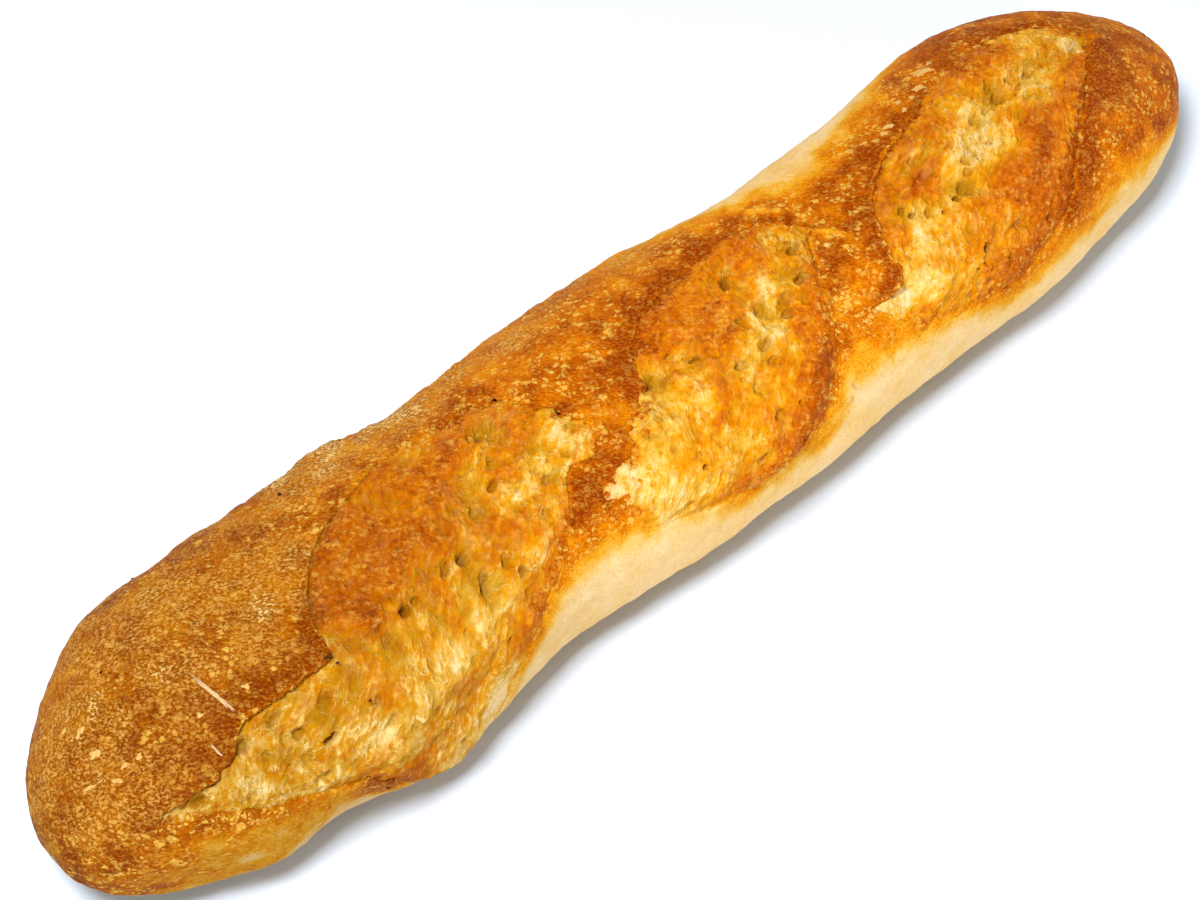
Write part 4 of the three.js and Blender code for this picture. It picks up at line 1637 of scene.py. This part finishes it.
class Graph:
    """A material's nodes, made and joined one by one."""

    def __init__(self, name: str) -> None:
        """Makes a material with only an output and a principled shader.

        Args:
            name: Name of the material.
        """
        self.material = bpy.data.materials.new(name)
        self.material.use_nodes = True
        self.nodes = self.material.node_tree.nodes
        self.links = self.material.node_tree.links
        self.nodes.clear()
        self.shader = self.add("BsdfPrincipled", {})
        self.add("OutputMaterial", {"Surface": self.shader.outputs["BSDF"]})

    def feed(self, node: bpy.types.Node, inputs: dict[str | int, object]) -> None:
        """Links each input whose value is a socket, and sets the others to their values."""
        for name, value in inputs.items():
            if isinstance(value, Socket):
                self.links.new(value, node.inputs[name])
            else:
                node.inputs[name].default_value = value

    def add(self, kind: str, inputs: dict[str | int, object], **settings: str) -> bpy.types.Node:
        """New shader node of a kind, with its settings made and its inputs fed.

        Args:
            kind: Name of its type, less the usual start.
            inputs: Number or socket for each input.
            **settings: Its own options, made before the inputs are fed.

        Returns:
            The new node.
        """
        node = self.nodes.new(f"ShaderNode{kind}")
        for name, value in settings.items():
            setattr(node, name, value)
        self.feed(node, inputs)
        return node

    def attribute(self, name: str, output: str = "Fac") -> Socket:
        """Reads a stored attribute: its Fac, Color or Vector output."""
        return self.add("Attribute", {}, attribute_name=name).outputs[output]

    def place(self, size: float, stretch: float = 1.0) -> Socket:
        """Object coordinates in cells of a size in millimetres, stretched along one slant."""
        inputs = {
            "Rotation": (0.0, 0.0, GRAIN_TURN),
            "Scale": (size * stretch * MM, size * MM, size * MM),
            "Vector": self.add("TexCoord", {}).outputs["Object"],
        }
        return self.add("Mapping", inputs, vector_type="TEXTURE").outputs["Vector"]

    def noise(self, place: Socket, detail: float, rough: float) -> Socket:
        """Noise texture of about 0 to 1, read in the given cells."""
        inputs = {"Scale": 1.0, "Detail": detail, "Roughness": rough, "Vector": place}
        return self.add("TexNoise", inputs).outputs["Fac"]

    def warp(self, place: Socket, amount: float) -> Socket:
        """Places pushed about by noise of their own, so that no cell stays round."""
        push = self.add("TexNoise", {"Scale": WARP_SCALE, "Detail": 1.0, "Vector": place})
        inputs = {0: push.outputs["Color"], 1: (amount, amount, amount), 2: place}
        return self.add("VectorMath", inputs, operation="MULTIPLY_ADD").outputs["Vector"]

    def cells(self, place: Socket, feature: str = "F1") -> bpy.types.Node:
        """Voronoi texture read in the given cells."""
        return self.add("TexVoronoi", {"Scale": 1.0, "Vector": place}, feature=feature)

    def sum(self, operation: str, *values: object) -> Socket:
        """Result of a Math node's operation on one to three numbers or sockets."""
        return self.add("Math", dict(enumerate(values)), operation=operation).outputs["Value"]

    def times(self, *values: object) -> Socket:
        """Product of two or more numbers or sockets."""
        return reduce(partial(self.sum, "MULTIPLY"), values)

    def most(self, *values: object) -> Socket:
        """Largest of two or more numbers or sockets."""
        return reduce(partial(self.sum, "MAXIMUM"), values)

    def range(
        self, value: object, low: float, high: float, start: float = 0.0, end: float = 1.0
    ) -> Socket:
        """Smooth change from start to end as the value goes from low to high.

        Args:
            value: Number or socket that is read.
            low: Value at the start.
            high: Value at the end.
            start: Result at and below low.
            end: Result at and above high.

        Returns:
            The result, by 3t^2 - 2t^3.
        """
        inputs = {"Value": value, "From Min": low, "From Max": high}
        inputs |= {"To Min": start, "To Max": end}
        node = self.add("MapRange", inputs, interpolation_type="SMOOTHSTEP")
        return node.outputs["Result"]

    def mix(self, share: object, first: object, second: object, kind: str = "MIX") -> Socket:
        """Mix of two colours, each a socket or four numbers."""
        inputs = {"Factor": share, "A": first, "B": second}
        return self.add("Mix", inputs, data_type="RGBA", blend_type=kind).outputs["Result"]

    def bump(self, height: object, depth: float, strength: float) -> Socket:
        """Normal tilted by a height of 0 to 1 that stands depth metres high."""
        inputs = {"Strength": strength, "Distance": depth, "Height": height}
        return self.add("Bump", inputs).outputs["Normal"]


def screen_colour(red: int, green: int, blue: int) -> Colour:
    """Linear colour with full alpha, from screen values of 0 to 255."""
    linear = to_linear(np.array((red, green, blue)) / 255)
    return (float(linear[0]), float(linear[1]), float(linear[2]), 1.0)


@dataclass(frozen=True)
class Readings:
    """Sockets that every layer of the bread's finish reads."""

    base: Socket
    bake: Socket
    film: Socket
    crumb: Socket
    crusty: Socket
    grain: Socket
    mottle: Socket
    region: Socket
    browning: Socket


@dataclass(frozen=True)
class BreadFinish:
    """Browned crust and torn crumb: flecked, dusty and finely grained, hardly glossy."""

    grain_size: float = 0.52
    mottle_size: float = 2.4
    region_size: float = 9.0
    small_fleck: float = 1.0
    large_fleck: float = 2.2
    thread_size: tuple[float, float] = (2.2, 0.9)
    sheet_size: tuple[float, float] = (6.0, 3.2)
    web_size: tuple[float, float] = (2.6, 1.7)
    dust_and_sheen_size: float = 0.55
    deep_factor: Colour = (0.58, 0.38, 0.06, 1.0)
    gold_factor: Colour = (0.78, 0.58, 0.05, 1.0)
    pale_tan: Colour = screen_colour(255, 240, 218)
    brown_tan: Colour = screen_colour(238, 174, 50)
    cream: Colour = screen_colour(250, 222, 166)
    dull_fleck: Colour = screen_colour(228, 170, 88)
    bright_fleck: Colour = screen_colour(252, 206, 104)
    dust: Colour = screen_colour(232, 174, 96)
    # Frost: partly flour, partly painted sheen.
    frost_and_sheen: Colour = screen_colour(250, 208, 150)
    tone: float = 0.66
    browned_blue: float = 0.7
    relief_depth: float = 0.0005
    relief_strength: float = 0.8
    specular: float = 0.03
    specular_tint: Colour = (1.0, 0.72, 0.4, 1.0)

    def read(self, g: Graph) -> Readings:
        """Stored values, and noise of three sizes that runs over the whole loaf.

        Args:
            g: The material's nodes.

        Returns:
            Their sockets.
        """
        bake, crumb = g.attribute("bake"), g.attribute("crumb")
        return Readings(
            base=g.attribute("bread_colour", "Color"),
            bake=bake,
            film=g.attribute("film"),
            crumb=crumb,
            crusty=g.sum("SUBTRACT", 1.0, crumb),
            grain=g.noise(g.place(self.grain_size, 1.6), 1.5, 0.6),
            mottle=g.noise(g.place(self.mottle_size), 3.0, 0.65),
            region=g.noise(g.place(self.region_size), 3.0, 0.6),
            browning=g.range(bake, 0.1, 0.4),
        )

    def flecks(self, g: Graph, size: float, rarity: float, least: float) -> Socket:
        """Mask of angular chips: the insides of some cells, each shrunk by its own share.

        Args:
            g: The material's nodes.
            size: Cell size in millimetres.
            rarity: Share of the cells that hold only a speck.
            least: Margin of the fullest cell.

        Returns:
            The mask, from 0 to 1.
        """
        places = g.warp(g.place(size, 1.25), 0.8)
        pick = g.add("SeparateColor", {"Color": g.cells(places).outputs["Color"]})
        margin = g.range(pick.outputs["Red"], rarity, 1.0, 0.6, least)
        edge = g.cells(places, "DISTANCE_TO_EDGE").outputs["Distance"]
        return g.range(g.sum("SUBTRACT", edge, margin), -0.03, 0.12)

    def strands(self, g: Graph, size: tuple[float, float], warp: float) -> Socket:
        """Warped places in cells of a length along the crumb's strands and a width across."""
        strand = g.attribute("strand", "Vector")
        inputs = {"Scale": (1 / size[0], 1 / size[1], 1), "Vector": strand}
        return g.warp(g.add("Mapping", inputs).outputs["Vector"], warp)

    def crust(self, g: Graph, r: Readings) -> Socket:
        """Colour of the crust: grain and mottle pull it down to deep and up to tan.

        Args:
            g: The material's nodes.
            r: What they read.

        Returns:
            The colour.
        """
        contrast = g.range(r.bake, 0.1, 0.5, 0.35, 1.0)
        deep = g.mix(1.0, r.base, self.deep_factor, "MULTIPLY")
        tan = g.mix(0.55, r.base, g.mix(r.browning, self.pale_tan, self.brown_tan))
        low = g.most(g.range(r.grain, 0.5, 0.34), g.range(r.mottle, 0.5, 0.34, 0.0, 0.7))
        high = g.range(r.grain, 0.5, 0.66)
        colour = g.mix(g.times(contrast, 0.6, low), r.base, deep)
        return g.mix(g.times(contrast, 0.4, high), colour, tan)

    def torn(self, g: Graph, r: Readings) -> tuple[Socket, Socket]:
        """Torn crumb: the walls of a net of bubbles are cream and the bubbles golden.

        Args:
            g: The material's nodes.
            r: What they read.

        Returns:
            The crumb's colour and its height.
        """
        threads = g.noise(self.strands(g, self.thread_size, 0.6), 1.5, 0.6)
        threads = g.sum("MULTIPLY_ADD", threads, 0.65, g.times(r.grain, 0.35))
        sheets = g.noise(self.strands(g, self.sheet_size, 0.8), 3.0, 0.6)
        net = g.cells(self.strands(g, self.web_size, 1.1), "DISTANCE_TO_EDGE")
        edge = net.outputs["Distance"]
        lacy = g.times(g.range(r.mottle, 0.42, 0.6), g.range(r.region, 0.36, 0.56, 0.25, 1.0))
        stringy = g.range(sheets, 0.4, 0.6, 1.0, 0.25)
        core = g.most(
            g.times(g.range(edge, 0.12, 0.4), lacy),
            g.times(g.range(threads, 0.49, 0.38), stringy),
            g.range(sheets, 0.53, 0.66),
        )
        wall = g.most(
            g.times(g.range(edge, 0.13, 0.03), lacy),
            g.times(g.range(threads, 0.53, 0.62), stringy),
            g.range(sheets, 0.46, 0.34),
        )
        gold = g.mix(1.0, r.base, self.gold_factor, "MULTIPLY")
        cream = g.mix(0.8, r.base, self.cream)
        pallor = g.range(r.bake, 0.2, 0.6, 1.0, 0.15)
        colour = g.mix(g.times(core, 0.6), r.base, gold)
        colour = g.mix(g.times(pallor, 0.8, wall), colour, cream)
        height = g.times(threads, stringy, 0.65)
        height = g.sum("MULTIPLY_ADD", g.range(edge, 0.2, 0.02), g.times(lacy, 0.5), height)
        return colour, height

    def flour(self, g: Graph, r: Readings, colour: Socket) -> tuple[Socket, Socket]:
        """Lays small and large flecks and dust of flour on the crust, and a frost that is partly
        flour and partly painted sheen.

        Args:
            g: The material's nodes.
            r: What they read.
            colour: Colour of the bread under the flour.

        Returns:
            The floured colour, and the height at which the flour stands.
        """
        browned = g.times(g.range(r.bake, 0.3, 0.66, 0.15, 1.0), r.crusty)
        browned = g.times(browned, g.range(r.bake, 0.82, 1.0, 1.0, 0.3))
        patchy = g.range(r.region, 0.35, 0.6, 0.25, 1.0)
        bare = g.range(r.film, 0.25, 0.7, 1.0, 0.15)
        spread = g.range(r.mottle, 0.42, 0.56)
        small = g.times(self.flecks(g, self.small_fleck, 0.1, 0.0), browned, patchy)
        large = g.times(self.flecks(g, self.large_fleck, 0.35, 0.1), browned, bare, spread)
        bright = g.mix(bare, self.dull_fleck, self.bright_fleck)
        pale = g.mix(0.75, r.base, g.mix(r.browning, self.pale_tan, bright))
        for flecks in (small, large):
            colour = g.mix(g.times(flecks, 0.8), colour, pale)

        dust = g.noise(g.place(self.dust_and_sheen_size, 1.4), 1.5, 0.6)
        dusty = g.times(g.range(dust, 0.49, 0.62), g.range(r.film, 0.1, 0.9, 0.0, 0.55))
        colour = g.mix(dusty, colour, self.dust)
        # Frost where the film is thick: partly flour, partly painted sheen along the +Y side's top
        # edge.
        level = g.range(r.film, 0.6, 1.7, 0.62, 0.42)
        frost_and_sheen = g.range(g.sum("SUBTRACT", dust, level), 0.0, 0.14)
        frost_and_sheen = g.times(frost_and_sheen, g.range(r.film, 0.6, 1.6, 0.1, 0.75))
        chips = g.sum("MULTIPLY_ADD", large, 0.35, g.times(small, 0.35))
        return g.mix(frost_and_sheen, colour, self.frost_and_sheen), g.sum("ADD", chips, frost_and_sheen)

    def make(self) -> bpy.types.Material:
        """Builds the material from the stored colour, bake, film and crumb.

        Returns:
            The material. Its colour is toned down all over, and its blue once more where
            the bread is browned.
        """
        g = Graph("bread")
        r = self.read(g)
        torn, torn_height = self.torn(g, r)
        colour, flour_height = self.flour(g, r, g.mix(r.crumb, self.crust(g, r), torn))
        even = (self.tone, self.tone, self.tone, 1.0)
        warm = (self.tone, self.tone, self.tone * self.browned_blue, 1.0)
        height = g.times(g.sum("ADD", r.grain, flour_height), r.crusty)
        height = g.sum("MULTIPLY_ADD", torn_height, r.crumb, height)
        inputs = {
            "Base Color": g.mix(1.0, colour, g.mix(r.browning, even, warm), "MULTIPLY"),
            "Normal": g.bump(height, self.relief_depth, self.relief_strength),
            "Roughness": g.range(r.bake, 0.2, 0.9, 0.8, 0.6),
            "Specular IOR Level": self.specular,
            "Specular Tint": self.specular_tint,
        }
        g.feed(g.shader, inputs)
        return g.material


# ---- the studio -----------------------------------------------------------------------


WHITE = (1.0, 1.0, 1.0)


def aimed(name: str, data: bpy.types.ID, place: Vector, back: Vector) -> Object:
    """New lamp or camera at a place, with its back to a direction.

    Args:
        name: Name of the object.
        data: The lamp or camera.
        place: Where it stands.
        back: Direction away from what it faces.

    Returns:
        The object.
    """
    thing = in_scene(name, data)
    thing.location = place
    thing.rotation_mode = "QUATERNION"
    thing.rotation_quaternion = (-back).to_track_quat("-Z", "Y")
    return thing


@dataclass(frozen=True)
class Studio:
    """Pale floor, soft lamps and a camera that looks down on the loaf."""

    azimuth: float = -40.33
    elevation: float = 58.0
    distance: float = 0.850
    lens: float = 117.1
    sensor: float = 36.0
    target: tuple[float, float, float] = (-0.01147, -0.00117, 0.022)
    floor_size: float = 6.0
    floor_drop: float = 0.0002
    key_power: float = 28.0
    key_size: float = 0.4
    key_place: tuple[float, float, float] = (-0.40, -0.08, 1.30)
    fill_powers: tuple[float, ...] = (13.0, 6.5, 6.0, 4.0)
    fill_colour: tuple[float, float, float] = (1.0, 0.95, 0.87)
    fill_distance: float = 1.25
    fill_height: float = 0.2
    fill_size: float = 0.36
    sky: float = 0.22
    floor_colour: tuple[float, float, float, float] = (0.57, 0.63, 0.73, 1.0)

    def camera(self) -> Object:
        """Places the camera at its distance behind the target and makes it the scene's.

        Returns:
            The camera.
        """
        turn, tilt = math.radians(self.azimuth), math.radians(self.elevation)
        level = math.cos(tilt)
        back = Vector((math.sin(turn) * level, -math.cos(turn) * level, math.sin(tilt)))
        data = bpy.data.cameras.new("camera")
        data.lens = self.lens
        data.sensor_fit = "HORIZONTAL"
        data.sensor_width = self.sensor
        data.clip_end = 20.0
        camera = aimed("camera", data, Vector(self.target) + back * self.distance, back)
        bpy.context.scene.camera = camera
        return camera

    def lamp(
        self, name: str, place: Vector, size: float, power: float, colour: tuple[float, ...]
    ) -> Object:
        """Square soft lamp that faces the loaf.

        Args:
            name: Name of the lamp.
            place: Where it stands, in metres.
            size: Side of its square.
            power: Its power in watts.
            colour: Linear colour of its light.

        Returns:
            The lamp.
        """
        data = bpy.data.lights.new(name, "AREA")
        data.size = size
        data.color = colour
        data.energy = power
        return aimed(name, data, place, place)

    def floor(self) -> Object:
        """Plain pale floor just under the loaf.

        Returns:
            The floor, kept out of the part.
        """
        half = self.floor_size / 2
        corners = [(-half, -half), (half, -half), (half, half), (-half, half)]
        mesh = bpy.data.meshes.new("floor")
        mesh.from_pydata([(x, y, -self.floor_drop) for x, y in corners], [], [(0, 1, 2, 3)])
        floor = in_scene("floor", mesh)
        g = Graph("floor")
        inputs = {"Base Color": self.floor_colour, "Roughness": 0.9, "Specular IOR Level": 0.1}
        g.feed(g.shader, inputs)
        mesh.materials.append(g.material)
        return floor

    def world(self) -> None:
        """Even white sky, and plain screen colours without a film curve."""
        world = bpy.data.worlds.new("sky")
        world.use_nodes = True
        backdrop = world.node_tree.nodes["Background"]
        backdrop.inputs["Color"].default_value = (*WHITE, 1.0)
        backdrop.inputs["Strength"].default_value = self.sky
        bpy.context.scene.world = world
        bpy.context.scene.view_settings.view_transform = "Standard"

    def build(self) -> None:
        """Makes the floor, the sky, the key lamp, four low fills round it and the camera."""
        self.floor()
        self.world()
        self.lamp("key", Vector(self.key_place), self.key_size, self.key_power, WHITE)
        for quarter, power in enumerate(self.fill_powers):
            turn = math.radians(90 * quarter)
            way = Vector((math.sin(turn), -math.cos(turn), 0.0))
            place = way * self.fill_distance + Vector((0.0, 0.0, self.fill_height))
            self.lamp("fill", place, self.fill_size, power, self.fill_colour)
        self.camera()


# ---- putting it together --------------------------------------------------------------


def dress(piece: Object, material: bpy.types.Material) -> None:
    """Gives a piece its material, and sets it to ride with the loaf."""
    piece.data.materials.append(material)
    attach(piece, ROOT_BODY)
    log.info("%s: %d faces", piece.name, len(piece.data.polygons))


def main() -> None:
    """Builds the crust, the three blooms and the studio."""
    logging.basicConfig(level=logging.INFO, format="%(name)s: %(message)s")
    fields = tuple(SlashField(slash) for slash in SLASHES)
    skin = Skin(LoafBody(), fields)
    bread = BreadFinish().make()

    crust = Crust(skin).build()
    dress(crust, bread)
    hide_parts(LOAF_NODE)

    for slash, field in zip(SLASHES, fields):
        dress(Bloom(skin, slash, field).build(), bread)
    for kind, rows in FLAKES:
        dress(Flakes(skin, kind, rows).build(), bread)

    Studio().build()


if __name__ == "__main__":
    main()
